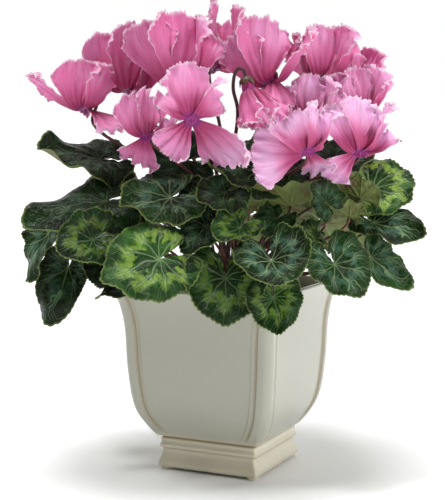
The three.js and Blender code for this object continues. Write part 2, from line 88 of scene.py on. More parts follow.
# Half the angle that a blade fills round its stalk
BLADE_END = math.pi - 0.2
# Slope in degrees at which a petal leaves its throat
PETAL_START = -25
SEPALS = 5
# Power of a squared distance that spaces the knots of a centripetal curve
CENTRIPETAL = 0.25
# Points along the routes of the two kinds of stalk
LEAF_STALK_POINTS = 22
FLOWER_STALK_POINTS = 57
# Where a flower's stalk passes it unless its row says otherwise: how far out and behind the mouth,
# and how much of its way out the stalk has made halfway up
STALK_ASIDE = 10.5
STALK_BEHIND = -12
STALK_LEAN = 0.38

# Each leaf: at is where its stalk meets the blade, tip the blade's tip and face the way it looks.
# roundness runs from a narrow blade to a full round one. cup, lift, heel and fold bend it up all
# round, towards its tip, behind its stalk and along its middle, and crumple is how much it billows.
# climb is how far its stalk heads straight up, bend how far before the blade it turns, and over the
# way it then comes in. tone is how light, how silver and how golden the upper face is.
LEAVES = [
    # Upper left
    dict(at=(-123, -18, 298), tip=(-180, -32, 303),
         face=(-0.2, -0.5, 0.85), heel=-0.2, roundness=0.66, crumple=1.6, tone=(0.05, 0.15, 0)),
    dict(at=(-114, -56, 261), tip=(-187, -74, 243),
         face=(-0.2, -0.6, 0.77), roundness=0.56, cup=-0.12, climb=88, bend=12, crumple=1.5,
         tone=(0.12, 0.12, 0)),
    dict(at=(-88, 20, 270), tip=(-133, 10, 278),
         face=(0, 0.2, 1), roundness=0.66, crumple=1.4, tone=(0.1, 0.1, 0)),
    # Left side
    dict(at=(-122, -97, 230), tip=(-154, -114, 220),
         face=(-0.15, -0.95, 0.3), roundness=0.76, cup=0.2, climb=60, tone=(0.28, 0, 0.3)),
    dict(at=(-174, -10, 228), tip=(-191, -22, 182),
         face=(-0.75, -0.6, 0.3), roundness=0.56, crumple=1.3, tone=(0.25, 0.7, 0.1)),
    dict(at=(-150, -54, 200), tip=(-168, -66, 148),
         face=(-0.2, -0.95, 0.1), roundness=0.44, crumple=1.4, tone=(0.05, 0.3, 0)),
    dict(at=(-115, -72, 205), tip=(-117, -82, 183),
         face=(0, -0.95, 0.3), roundness=0.85, tone=(0.06, 0.1, 0)),
    dict(at=(-80, -72, 185), tip=(-120, -86, 172),
         face=(0, -0.15, 0.98), roundness=0.5, over=(-0.6, -0.5, 0.3), tone=(0.05, 0.05, 0)),
    # Middle front
    dict(at=(-62, -113, 214), tip=(-110, -134, 198),
         face=(-0.25, -0.9, 0.35), roundness=0.76, cup=-0.12, fold=0.1, tone=(0.6, 0.2, 0.62)),
    dict(at=(-54, -68, 265), tip=(-97, -92, 252),
         face=(0, -0.6, 0.78), roundness=0.8, crumple=1.2, tone=(0.22, 0.55, 0)),
    dict(at=(-40, -18, 298), tip=(-84, -22, 301),
         face=(0.05, -0.97, 0.25), roundness=0.72, crumple=1.3, tone=(0.1, 0.12, 0)),
    dict(at=(26, -48, 288), tip=(-20, -62, 292),
         face=(0, -0.78, 0.62), roundness=0.76, crumple=1.5, tone=(0.05, 0.2, 0)),
    dict(at=(-24, -58, 258), tip=(-36, -74, 232),
         face=(-0.4, -0.8, 0.45), roundness=1, tone=(0.05, 0.15, 0)),
    dict(at=(-21, -86, 240), tip=(-42, -102, 217),
         face=(-0.3, -0.9, 0.3), roundness=0.66, tone=(0.2, 0.25, 0)),
    dict(at=(9, -96, 240), tip=(-14, -114, 224),
         face=(-0.2, -0.85, 0.5), roundness=0.72, cup=0.45, tone=(0.5, 0.3, 0.4)),
    dict(at=(56, -54, 257), tip=(6, -68, 266),
         face=(0, 0.6, 0.8), roundness=0.6, crumple=0.5, tone=(0.3, 0, 0.2)),
    dict(at=(-4, -108, 196), tip=(-4, -128, 156),
         face=(0, -0.9, 0.42), roundness=0.88, fold=0.22, over=(0, -0.8, -0.4),
         tone=(0.34, 0.2, 0.28)),
    dict(at=(36, -124, 214), tip=(45, -150, 190),
         face=(0, -0.85, 0.5), roundness=1, lift=0.1, fold=0.42, tone=(0.16, 0.7, 0.1)),
    dict(at=(38, -120, 181), tip=(42, -130, 149),
         face=(0, -0.92, 0.38), roundness=0.8, fold=0.2, over=(0.2, -0.7, -0.7),
         tone=(0.38, 0.1, 0.42)),
    # Right side
    dict(at=(94, -91, 207), tip=(114, -109, 176),
         face=(0.3, -0.85, 0.4), roundness=0.84, fold=0.2, tone=(0.35, 0.6, 0.2)),
    dict(at=(130, -60, 210), tip=(160, -80, 177),
         face=(0.3, -0.75, 0.6), roundness=0.5, fold=0.25, tone=(0.4, 0.6, 0.1)),
    dict(at=(139, -10, 238), tip=(181, -34, 218),
         face=(0.1, -0.6, 0.8), roundness=0.62, fold=0.25, crumple=1.3, tone=(0.35, 0.8, 0.05)),
    dict(at=(141, 16, 270), tip=(174, -4, 254),
         face=(0.1, -0.75, 0.65), roundness=1, tone=(0.6, 0.2, 1.0)),
    dict(at=(124, -20, 262), tip=(104, -34, 284),
         face=(-0.2, 0.4, 0.9), roundness=0.64, crumple=0.5, tone=(0.3, 0.2, 0.2)),
    dict(at=(87, -78, 261), tip=(71, -88, 280),
         face=(0, -0.85, 0.5), roundness=0.76, tone=(0.25, 0.3, 0.1)),
    dict(at=(112, -40, 246), tip=(74, -48, 251),
         face=(0, 0.4, 0.92), roundness=0.58, crumple=0.5, tone=(0.3, 0.2, 0.2)),
    dict(at=(80, -66, 228), tip=(62, -83, 238),
         face=(0, -0.7, 0.7), roundness=0.76, tone=(0.3, 0.2, 0.3)),
    dict(at=(43, -72, 246), tip=(23, -88, 234),
         face=(0, -0.7, 0.7), roundness=0.7, tone=(0.3, 0.2, 0.2)),
    # Between the rest, deeper in the plant
    dict(at=(-76, -40, 234), tip=(-104, -46, 228),
         face=(-0.1, -0.7, 0.6), roundness=0.95, tone=(0.1, 0.1, 0)),
    dict(at=(98, -3, 293), tip=(138, -18, 297),
         face=(0.1, -0.7, 0.7), roundness=0.8, tone=(0.2, 0.2, 0.1)),
    dict(at=(70, -27, 283), tip=(46, -44, 286),
         face=(0, -0.75, 0.65), roundness=0.9, tone=(0.1, 0.1, 0)),
    dict(at=(-4, -80, 270), tip=(-30, -98, 262),
         face=(-0.2, -0.8, 0.55), roundness=0.78, climb=70, crumple=1.5, tone=(0.12, 0.25, 0)),
]

# Each flower: at is the middle of its mouth and mouth the way it opens. stem is the angle at which
# its stalk passes, and aside, behind and lean are as for STALK_ASIDE and the values after it. wide
# widens its petals and pale whitens them. A petal has its angle round the flower, its angle back
# from straight up the stem and its length, and some also have a share of the usual width and an
# extra twist in radians.
BLOOMS = [
    dict(at=(-137, -15, 344), mouth=(-0.15, -0.35, -0.92), stem=350, lean=0.52,
         petals=((180, 66, 62, 0.55, -0.35), (240, 18, 52), (115, 22, 50), (300, 14, 52),
                 (345, 112, 50, 1.6, 0))),
    dict(at=(-98, 14, 362), mouth=(0, -0.25, -0.97), stem=60,
         petals=((222, 12, 66), (272, 8, 72), (325, 14, 66), (15, 18, 62), (105, 14, 60))),
    dict(at=(-48, -26, 371), mouth=(0.05, -0.25, -0.97), stem=75,
         petals=((205, 14, 68), (265, 8, 72), (330, 16, 68), (20, 18, 62), (140, 14, 64))),
    dict(at=(-14, 30, 384), mouth=(0, -0.2, -0.98), stem=240,
         petals=((190, 16, 60), (265, 8, 74, 0.42, 0.4), (330, 12, 72, 0.5, 0), (50, 14, 64),
                 (130, 12, 66))),
    dict(at=(39, -22, 368), mouth=(0, -0.35, -0.94), stem=75,
         petals=((195, 22, 62), (245, 4, 70), (318, 40, 66), (285, 155, 44), (130, 14, 60))),
    dict(at=(88, 34, 376), mouth=(0, -0.2, -0.98), stem=200,
         petals=((270, 14, 58), (330, 18, 60), (30, 18, 58), (95, 12, 60), (150, 14, 58))),
    dict(at=(118, 96, 364), mouth=(0.2, 0.1, -0.97), stem=220,
         petals=((290, 20, 54), (345, 40, 56), (50, 20, 54), (110, 16, 54), (170, 16, 52))),
    dict(at=(-34, -98, 335), mouth=(0.05, -0.85, -0.5), stem=75, wide=1.25, behind=8, pale=0.42,
         petals=((42, 98, 56, 1.2, 0), (128, 106, 37, 0.9, 0), (222, 26, 38, 0.8, 0),
                 (262, 52, 49, 0.95, 0), (322, 44, 42, 0.9, 0))),
    dict(at=(-76, -60, 319), mouth=(0.1, -0.55, -0.83), stem=80, behind=4, pale=0.25,
         petals=((230, 14, 46, 0.75, 0), (280, 8, 47, 0.75, 0), (330, 18, 45, 0.8, 0),
                 (112, 112, 31, 1.3, 0), (25, 22, 42, 0.8, 0))),
    dict(at=(17, -74, 360), mouth=(0.2, -0.2, -0.96), stem=155, aside=14,
         petals=((240, 166, 38), (290, 166, 44), (335, 162, 42), (20, 166, 42), (68, 166, 42))),
    dict(at=(70, -87, 306), mouth=(0.25, -0.65, -0.7), stem=90, wide=1.2, behind=2, pale=0.95,
         petals=((186, 84, 48, 1.2, 0), (240, 20, 46), (295, 16, 46), (345, 10, 42),
                 (60, 100, 30))),
    dict(at=(76, -21, 334), mouth=(0, -0.4, -0.9), stem=80, pale=0.6,
         petals=((200, 18, 42), (260, 12, 48), (320, 16, 46), (15, 20, 46), (145, 16, 44))),
    dict(at=(119, -60, 304), mouth=(0.1, -0.6, -0.8), stem=90, wide=1.15, behind=2, pale=0.9,
         petals=((328, 17, 52, 1.1, 0), (285, 10, 58, 1.1, 0), (240, 14, 54),
                 (165, 124, 36, 0.8, 0), (20, 24, 42))),
    dict(at=(126, 22, 343), mouth=(0.2, -0.2, -0.96), stem=150, pale=0.45,
         petals=((210, 18, 50), (265, 14, 50), (330, 24, 50), (30, 18, 50), (90, 16, 50))),
]

# The far side's tiers: how many leaves, from and to which angle, reach, height, drop and length
FAR_TIERS = ((5, 32, 158, 116, 230, 30, 60), (3, 44, 116, 72, 280, 8, 54))
FAR_SEED = 7
FAR_SCATTER = 4
SHINGLE_ROLL = 0.42

# Edges of a blade and a petal: soft lobes where a blade's main veins end, and small teeth.
# PETAL_LINES is how many fine lines run up a petal side by side, partly its veins and partly
# painted shade in its creases.
LOBES = 9
LOBE_DEPTH = 0.045
LEAF_TEETH = 50
PETAL_TEETH = 30
PETAL_SIDE_TEETH = 18
PETAL_LINES = 34
# Rows of faces from foot to edge, and columns of faces for each tooth or sepal
BLADE_ROWS = 15
PETAL_ROWS = 27
SEPAL_ROWS = 8
BLADE_COLUMNS = 3
PETAL_COLUMNS = 2
SEPAL_COLUMNS = 12

# Lines of a blade's veins: the share of the way out where one leaves, how steeply, its width in
# mm and its strength. The first is the main vein itself. LANE_WIDTH is how wide the lane of a main
# vein is at the blade's edge, in mm.
LANE_WIDTH = 20.0
VEIN_FORKS = ((0.0, 0.0, 1.0, 1.0), (0.36, 0.7, 0.85, 0.85), (0.62, 0.95, 0.7, 0.5))

# Colours of leaves and petals that shade into the chosen ones
LEAF_DARK = "#0f1b09"
LEAF_LIGHT = "#4d7c33"
LEAF_SILVER = "#466b57"
LEAF_GOLD = "#8aaa46"
LEAF_MARGIN = "#93a35a"
LEAF_RIM = "#5f7138"
LEAF_RUST = "#64512f"
# Deeper pink of the fine lines up a petal: partly its veins, partly painted shade in its creases
PETAL_DEEP = "#a3205f"
PETAL_LINE = "#b64380"
# Paler pink of the clouds on the outer petal: partly its own blush, partly a painted highlight
PETAL_BLUSH_AND_HIGHLIGHT = "#ebb9e0"
GLAZE_CLOUD = "#a6a597"
# Tint of the foot: a warmer glaze, painted paler as painted light that lifts the shade round the
# foot
FOOT_GLAZE_AND_LIGHT = "#d8cfb5"
GLAZE_GROOVE = "#9a8866"
CORK = "#6b4a36"
CORK_CRACK = "#2a1a12"
SOIL_DARK = "#1d130c"
SOIL_FIBRE = "#7a624a"

# Sizes in mm of the parts that the materials' patterns are made of
LEAF_CLOUD = 20
LEAF_GRAIN = 4.17
LEAF_NET = 4.35
LEAF_BLISTER = 5.26
BACK_CLOUD = 16.7
PETAL_CLOUD = 33.3
STEM_PATCH = 22.2
STEM_HAIR = 1.11
CORK_PLATE = 5.56
SOIL_CRUMB = 3.85
SOIL_GRAIN = 2.38
GLAZE_DRIFT = 71.4
# Setting of the range nodes that fade in and out softly
SMOOTH = {"interpolation_type": "SMOOTHSTEP"}


# Small tools

def draws(seed):
    """Repeatable numbers between -1 and 1, the same as in the part's source."""
    state = seed * 2654435761 % 4294967296
    while True:
        state = (state * 1664525 + 1013904223) % 4294967296
        yield state / 2147483648 - 1


def unit(vector):
    return np.array(vector, float) / np.linalg.norm(vector)


def eased(value, low, high):
    """0 below low, 1 above high and a smooth step between them."""
    share = np.clip((np.asarray(value, float) - low) / (high - low), 0, 1)
    return share * share * (3 - 2 * share)


def zigzag(value):
    """1 at whole numbers and 0 halfway between them."""
    return np.abs(value % 1 - 0.5) * 2


def bearing(point):
    """Angle at which a point lies, seen from above."""
    return math.atan2(point[1], point[0])


def curve_point(points, share):
    """Point of a centripetal Catmull-Rom curve through the given points, as three.js has it."""
    points = [np.array(point, float) for point in points]
    place = (len(points) - 1) * share
    first = min(int(place), len(points) - 2)
    rest = place - first
    p1, p2 = points[first], points[first + 1]
    p0 = points[first - 1] if first > 0 else 2 * points[0] - points[1]
    p3 = points[first + 2] if first + 2 < len(points) else 2 * points[-1] - points[-2]
    d0, d1, d2 = (float(np.dot(b - a, b - a)) ** CENTRIPETAL
                  for a, b in ((p0, p1), (p1, p2), (p2, p3)))
    start = ((p1 - p0) / d0 - (p2 - p0) / (d0 + d1) + (p2 - p1) / d1) * d1
    end = ((p2 - p1) / d1 - (p3 - p1) / (d1 + d2) + (p3 - p2) / d2) * d1
    return (p1 + start * rest + (3 * (p2 - p1) - 2 * start - end) * rest ** 2
            + (start + end - 2 * (p2 - p1)) * rest ** 3)


def on_pot(points):
    """Points of the plant, turned as it stands in the pot."""
    points = np.asarray(points, float)
    cosine, sine = math.cos(PLANT_TURN), math.sin(PLANT_TURN)
    turned = points.copy()
    turned[..., 0] = points[..., 0] * cosine - points[..., 1] * sine
    turned[..., 1] = points[..., 0] * sine + points[..., 1] * cosine
    return turned


def select_only(*objects):
    bpy.ops.object.select_all(action="DESELECT")
    for obj in objects:
        obj.select_set(True)
    bpy.context.view_layer.objects.active = objects[0]


def new_object(name, operator, **settings):
    """Adds an object by one of Blender's operators, with everything else deselected."""
    bpy.ops.object.select_all(action="DESELECT")
    operator(**settings)
    bpy.context.object.name = name
    return bpy.context.object


def flat_grid(name, columns, rows):
    """A grid primitive, one unit square, that blades, petals and shells are shaped from."""
    return new_object(name, bpy.ops.mesh.primitive_grid_add, x_subdivisions=columns,
                      y_subdivisions=rows, size=1)


def copied(template, name):
    """A copy of an object with a mesh of its own."""
    copy = template.copy()
    copy.data = template.data.copy()
    copy.name = name
    copy.data.name = name
    bpy.context.scene.collection.objects.link(copy)
    return copy


def grid_places(mesh):
    """Where the vertices of a grid lie, across and up it, from 0 to 1."""
    places = np.empty(len(mesh.vertices) * 3)
    mesh.vertices.foreach_get("co", places)
    return places.reshape(-1, 3) + 0.5


def shaped(grid, shape, spacing=lambda v: v):
    """Shapes a grid: shape gives points in mm for arrays of places u across and v up it, and
    spacing crowds the rows. Rows and sides that meet are merged."""
    mesh = grid.data
    places = grid_places(mesh)
    points = np.ascontiguousarray(shape(places[:, 0], spacing(places[:, 1])) * MM)
    mesh.vertices.foreach_set("co", points.ravel())
    layer = mesh.uv_layers[0]
    map_places = np.empty(len(layer.data) * 2)
    layer.data.foreach_get("uv", map_places)
    map_places = map_places.reshape(-1, 2)
    map_places[:, 1] = spacing(map_places[:, 1])
    layer.data.foreach_set("uv", np.ascontiguousarray(map_places).ravel())
    mesh.update()
    select_only(grid)
    bpy.ops.object.mode_set(mode="EDIT")
    bpy.ops.mesh.select_all(action="SELECT")
    bpy.ops.mesh.remove_doubles(threshold=0.00001)
    bpy.ops.object.mode_set(mode="OBJECT")
    return grid


def with_modifier(obj, kind, **settings):
    """Adds a modifier with its settings and applies it."""
    select_only(obj)
    bpy.ops.object.modifier_add(type=kind)
    modifier = obj.modifiers[-1]
    for name, value in settings.items():
        setattr(modifier, name, value)
    bpy.ops.object.modifier_apply(modifier=modifier.name)


def thin_piece(template, name, shape, skins, spacing=lambda v: v, **shell):
    """A copy of a grid, shaped, given its materials and thickened."""
    piece = shaped(copied(template, name), shape, spacing)
    for skin in skins:
        piece.data.materials.append(skin)
    with_modifier(piece, "SOLIDIFY", **shell)
    return piece


def note(obj, name, values):
    """Writes three numbers to each vertex under an attribute's name: the same or its own."""
    attribute = obj.data.attributes.new(name, "FLOAT_VECTOR", "POINT")
    spread = np.broadcast_to(values, (len(obj.data.vertices), 3)).astype(float)
    attribute.data.foreach_set("vector", spread.ravel())


def finish_piece(obj, slot_name, *nodes):
    """Smooths a piece, sets it on the frame and lets it stand for its CAD nodes."""
    select_only(obj)
    bpy.ops.object.shade_smooth_by_angle(angle=math.radians(50))
    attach(obj, "root")
    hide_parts(*nodes)


# Materials

def linear(hex_colour):
    """An sRGB hex colour as linear red, green, blue and alpha."""
    shares = [int(hex_colour[i:i + 2], 16) / 255 for i in (1, 3, 5)]
    shares = [c / 12.92 if c <= 0.04045 else ((c + 0.055) / 1.055) ** 2.4 for c in shares]
    return (*shares, 1.0)


def repeats(size):
    """The scale of a pattern whose parts have a size in mm."""
    return 1 / (size * MM)


def add_node(material, kind, links=(), **settings):
    """Adds a node with its settings. links gives its inputs in use, in their order or by name, each
    a value or the node that leads to it."""
    tree = material.node_tree
    added = tree.nodes.new("ShaderNode" + kind)
    for name, value in settings.items():
        setattr(added, name, value)
    sockets = [socket for socket in added.inputs if socket.enabled]
    if isinstance(links, dict):
        names = [socket.name for socket in sockets]
        pairs = [(sockets[names.index(name)], value) for name, value in links.items()]
    else:
        pairs = list(zip(sockets, links))
    for socket, value in pairs:
        if isinstance(value, bpy.types.Node):
            value = next(output for output in value.outputs if output.enabled)
        if isinstance(value, bpy.types.NodeSocket):
            tree.links.new(value, socket)
        else:
            socket.default_value = value
    return added


def new_material(name, **constants):
    """A material whose shader has the given constants set on its own sockets."""
    material = bpy.data.materials.new(name)
    material.use_nodes = True
    shader = material.node_tree.nodes["Principled BSDF"]
    for socket, value in constants.items():
        shader.inputs[socket.replace("_", " ")].default_value = value
    return material


def lead_to_shader(material, **sources):
    """Links nodes to the shader's sockets of the same names."""
    shader = material.node_tree.nodes["Principled BSDF"]
    for socket, source in sources.items():
        output = next(output for output in source.outputs if output.enabled)
        material.node_tree.links.new(output, shader.inputs[socket.replace("_", " ")])


def grid_place(material):
    """Where a point lies on its piece's grid, across and along it, from 0 to 1."""
    place = add_node(material, "UVMap", uv_map="UVMap")
    return add_node(material, "SeparateXYZ", (place,)).outputs[:2]


def noted(material, name):
    """The three numbers that note wrote under an attribute's name."""
    note = add_node(material, "Attribute", attribute_name=name)
    return add_node(material, "SeparateXYZ", (note.outputs["Vector"],)).outputs[:]


def from_middle(material, lanes):
    """How far a point lies from the middle of its lane, in widths of the lane."""
    part = add_node(material, "Math", (lanes,), operation="FRACT")
    part = add_node(material, "Math", (part, 0.5), operation="SUBTRACT")
    return add_node(material, "Math", (part,), operation="ABSOLUTE")


def cyclamen_leaf(colours):
    """Upper face of a blade: waxy, veined, with a silver zone round a dark middle."""
    material = new_material("cyclamen_leaf", Specular_IOR_Level=0.13)
    add = partial(add_node, material)
    across, share = grid_place(material)
    light, silver, gold = noted(material, "tone")
    spot = add("TexCoord").outputs["Object"]
    broad = add("TexNoise", (spot, repeats(LEAF_CLOUD), 2.0))
    fine = add("TexNoise", (spot, repeats(LEAF_GRAIN), 3.0))

    # The main veins run to the lobes and waver a little
    lanes = add("Math", (across, LOBES, -0.6), operation="MULTIPLY_ADD")
    lanes = add("Math", (broad, 1.2, lanes), operation="MULTIPLY_ADD")
    aside = from_middle(material, lanes)
    breadth = add("Math", (share, LANE_WIDTH), operation="MULTIPLY")

    # Each vein, then the pairs of forks that leave it on the way out, as a distance in mm
    veins = 0.0
    for start, slope, width, strength in VEIN_FORKS:
        past = add("Math", (share, start), operation="SUBTRACT", use_clamp=True)
        off = add("Math", (past, -slope, aside), operation="MULTIPLY_ADD")
        off = add("Math", (off,), operation="ABSOLUTE")
        off = add("Math", (off, breadth), operation="MULTIPLY")
        vein = add("MapRange", (off, width, 0.1, 0.0, strength), **SMOOTH)
        veins = add("Math", (veins, vein), operation="MAXIMUM")
    net = add("TexVoronoi", (spot, repeats(LEAF_NET)), feature="DISTANCE_TO_EDGE")
    net = add("MapRange", (net, 0.1, 0.0, 0.0, 0.14), **SMOOTH)
    veins = add("Math", (veins, net), operation="MAXIMUM")

    # The marked zone of a blade, between its dark middle and its edge, jagged along the veins
    zone = add("Math", (share, 0.5), operation="SUBTRACT")
    for source, weight in ((aside, 0.4), (broad, 0.4), (fine, 0.4), (gold, -0.14)):
        zone = add("Math", (source, weight, zone), operation="MULTIPLY_ADD")
    begin = add("MapRange", (zone, 0.34, 0.42), **SMOOTH)
    stop = add("MapRange", (zone, 0.68, 0.56), **SMOOTH)
    marbling = add("MapRange", (fine, 0.25, 0.6, 0.3), **SMOOTH)
    most = add("Math", (silver, gold), operation="MAXIMUM")
    patched = begin
    for part in (stop, marbling, most):
        patched = add("Math", (patched, part), operation="MULTIPLY")
    golden = add("Math", (gold, silver), operation="GREATER_THAN")
    patch = add("Mix", (golden, linear(LEAF_SILVER), linear(LEAF_GOLD)), data_type="RGBA")

    # Veins are drawn where the blade is marked, and fade towards its edge
    drawn = add("Math", (most, 0.54, 0.05), operation="MULTIPLY_ADD")
    fading = add("MapRange", (share, 0.95, 0.6, 0.3), **SMOOTH)
    for part in (veins, fading):
        drawn = add("Math", (drawn, part), operation="MULTIPLY")

    # Colours, from the darkest green up. The broad clouds in depth are partly the blade's own
    # uneven green and partly painted shade, darkening it as the shade deep in the plant would
    depth = add("Math", (light, 0.7), operation="SUBTRACT")
    depth = add("Math", (broad, 1.3, depth), operation="MULTIPLY_ADD")
    dark_mid = add("MapRange", (depth, 0.0, 0.5))
    mid_light = add("MapRange", (depth, 0.5, 1.1))
    margin = add("MapRange", (share, 0.945, 1.0, 0.0, 0.42), **SMOOTH)
    green = linear(LEAF_DARK)
    for factor, paint in ((dark_mid, colours.leaf), (mid_light, linear(LEAF_LIGHT)),
                          (patched, patch), (drawn, colours.vein), (margin, linear(LEAF_MARGIN))):
        green = add("Mix", (factor, green, paint), data_type="RGBA")

    # The face is blistered between sunken veins
    rough = add("MapRange", (fine, 0.0, 1.0, 0.2, 0.4))
    blisters = add("TexVoronoi", (spot, repeats(LEAF_BLISTER)), feature="SMOOTH_F1")
    height = add("Math", (fine, 0.3), operation="MULTIPLY")
    for part in (blisters, veins):
        height = add("Math", (part, -0.8, height), operation="MULTIPLY_ADD")
    bump = add("Bump", {"Height": height, "Distance": 1.8 * MM, "Strength": 0.8})
    lead_to_shader(material, Base_Color=green, Roughness=rough, Normal=bump)
    return material


def leaf_back(colours):
    """Under side of a blade: dull olive to rust, with its main veins standing out paler."""
    material = new_material("cyclamen_leaf_back", Roughness=0.6)
    add = partial(add_node, material)
    across, share = grid_place(material)
    spot = add("TexCoord").outputs["Object"]
    broad = add("TexNoise", (spot, repeats(BACK_CLOUD), 3.0))
    lanes = add("Math", (across, LOBES), operation="MULTIPLY")
    breadth = add("Math", (share, LANE_WIDTH), operation="MULTIPLY")
    off = add("Math", (from_middle(material, lanes), breadth), operation="MULTIPLY")
    vein = add("MapRange", (off, 1.1, 0.2), **SMOOTH)
    lit = add("Math", (vein, 0.16), operation="MULTIPLY")
    rust = add("MapRange", (broad, 0.5, 0.75), **SMOOTH)
    colour = colours.underside
    for factor, paint in ((rust, linear(LEAF_RUST)), (lit, linear(LEAF_MARGIN))):
        colour = add("Mix", (factor, colour, paint), data_type="RGBA")
    bump = add("Bump", {"Height": vein, "Distance": 0.8 * MM, "Strength": 0.8})
    lead_to_shader(material, Base_Color=colour, Normal=bump)
    return material


def leaf_rim():
    """Cut edge of a blade: paler and horny, so that the fine teeth catch the light."""
    return new_material("cyclamen_leaf_rim", Base_Color=linear(LEAF_RIM), Roughness=0.45)


def petal_skin(colours):
    """A petal: satin and slightly see-through, deep rose at its claw, near white at its frill."""
    material = new_material("cyclamen_petal", Roughness=0.55, Sheen_Weight=0.15,
                            Subsurface_Weight=0.25, Subsurface_Radius=(0.9, 0.4, 0.6),
                            Subsurface_Scale=3 * MM)
    add = partial(add_node, material)
    across, along = grid_place(material)
    pale = noted(material, "tone")[0]
    spot = add("TexCoord").outputs["Object"]
    broad = add("TexNoise", (spot, repeats(PETAL_CLOUD), 1.0))

    # Fine lines that run up the petal, drawn out along it: partly its own veins and partly painted
    # shade in its fine creases
    wide = add("Math", (across, PETAL_LINES), operation="MULTIPLY")
    long = add("Math", (along, 2.2), operation="MULTIPLY")
    drawn = add("CombineXYZ", (wide, long, broad))
    streak = add("TexNoise", (drawn, 1.0, 3.0))
    veins_and_crease_shade = add("MapRange", (streak, 0.46, 0.72, 0.0, 0.34), **SMOOTH)

    # Deep at its claw, clouded paler outwards, partly the flower's own blush and partly a painted
    # highlight on the lit outer parts, and near white round its edge
    deep = add("MapRange", (along, 0.62, 0.06), **SMOOTH)
    blush_and_highlight = add("MapRange", (broad, 0.4, 0.75, 0.0, 0.5), **SMOOTH)
    outer = add("MapRange", (along, 0.25, 0.8), **SMOOTH)
    blush_and_highlight = add("Math", (blush_and_highlight, pale), operation="ADD")
    blush_and_highlight = add("Math", (blush_and_highlight, outer), operation="MULTIPLY", use_clamp=True)
    sides = add("MapRange", (from_middle(material, across), 0.455, 0.5), **SMOOTH)
    grown = add("MapRange", (along, 0.2, 0.6), **SMOOTH)
    sides = add("Math", (sides, grown), operation="MULTIPLY")
    end = add("MapRange", (along, 0.92, 1.0), **SMOOTH)
    frill = add("Math", (sides, end), operation="MAXIMUM")
    frill = add("Math", (frill, 0.85), operation="MULTIPLY")
    eye = add("MapRange", (along, 0.13, 0.03), **SMOOTH)
    colour = colours.petal
    for factor, paint in ((deep, linear(PETAL_DEEP)), (blush_and_highlight, linear(PETAL_BLUSH_AND_HIGHLIGHT)),
                          (veins_and_crease_shade, linear(PETAL_LINE)), (frill, colours.petal_edge),
                          (eye, colours.eye)):
        colour = add("Mix", (factor, colour, paint), data_type="RGBA")
    bump = add("Bump", {"Height": streak, "Distance": 1.6 * MM, "Strength": 0.4})
    lead_to_shader(material, Base_Color=colour, Normal=bump)
    return material


def flower_throat(colours):
    """The short tube the petals grow from: magenta at its mouth, pinker towards the calyx."""
    material = new_material("cyclamen_throat", Roughness=0.5, Subsurface_Weight=0.1,
                            Subsurface_Scale=2 * MM)
    add = partial(add_node, material)
    far = add("MapRange", (grid_place(material)[1], 0.45, 0.9), **SMOOTH)
    colour = add("Mix", (far, colours.eye, linear(PETAL_DEEP)), data_type="RGBA")
    lead_to_shader(material, Base_Color=colour)
    return material


def fleshy_stem(name, dark, light):
    """A juicy stalk: smooth skin that shades from brown-red to green along and across it."""
    material = new_material(name, Roughness=0.42, Subsurface_Weight=0.05, Subsurface_Scale=MM)
    add = partial(add_node, material)
    spot = add("TexCoord").outputs["Object"]
    patch = add("TexNoise", (spot, repeats(STEM_PATCH), 3.0))
    factor = add("MapRange", (patch, 0.38, 0.68), **SMOOTH)
    colour = add("Mix", (factor, linear(dark), linear(light)), data_type="RGBA")
    hairs = add("TexNoise", (spot, repeats(STEM_HAIR), 2.0))
    bump = add("Bump", {"Height": hairs, "Distance": 0.2 * MM, "Strength": 0.5})
    lead_to_shader(material, Base_Color=colour, Normal=bump)
    return material


def corky_tuber():
    """Old tuber skin: matt brown cork, cracked into small plates."""
    material = new_material("corky_tuber", Roughness=0.85)
    add = partial(add_node, material)
    spot = add("TexCoord").outputs["Object"]
    plates = add("TexVoronoi", (spot, repeats(CORK_PLATE)), feature="DISTANCE_TO_EDGE")
    crack = add("MapRange", (plates, 0.0, 0.15))
    colour = add("Mix", (crack, linear(CORK_CRACK), linear(CORK)), data_type="RGBA")
    bump = add("Bump", {"Height": crack, "Distance": MM})
    lead_to_shader(material, Base_Color=colour, Normal=bump)
    return material


def potting_soil(colours):
    """Damp peat: dark crumbs of 2 to 6 mm with lighter fibres, no gloss."""
    material = new_material("potting_soil", Roughness=0.95)
    add = partial(add_node, material)
    spot = add("TexCoord").outputs["Object"]
    crumbs = add("TexVoronoi", (spot, repeats(SOIL_CRUMB)))
    grain = add("TexNoise", (spot, repeats(SOIL_GRAIN), 4.0))
    pale = add("MapRange", (grain, 0.6, 0.75, 0.0, 0.6), **SMOOTH)
    colour = linear(SOIL_DARK)
    for factor, paint in ((grain, colours.soil), (pale, linear(SOIL_FIBRE))):
        colour = add("Mix", (factor, colour, paint), data_type="RGBA")
    bump = add("Bump", {"Height": crumbs, "Distance": 3 * MM})
    lead_to_shader(material, Base_Color=colour, Normal=bump)
    return material


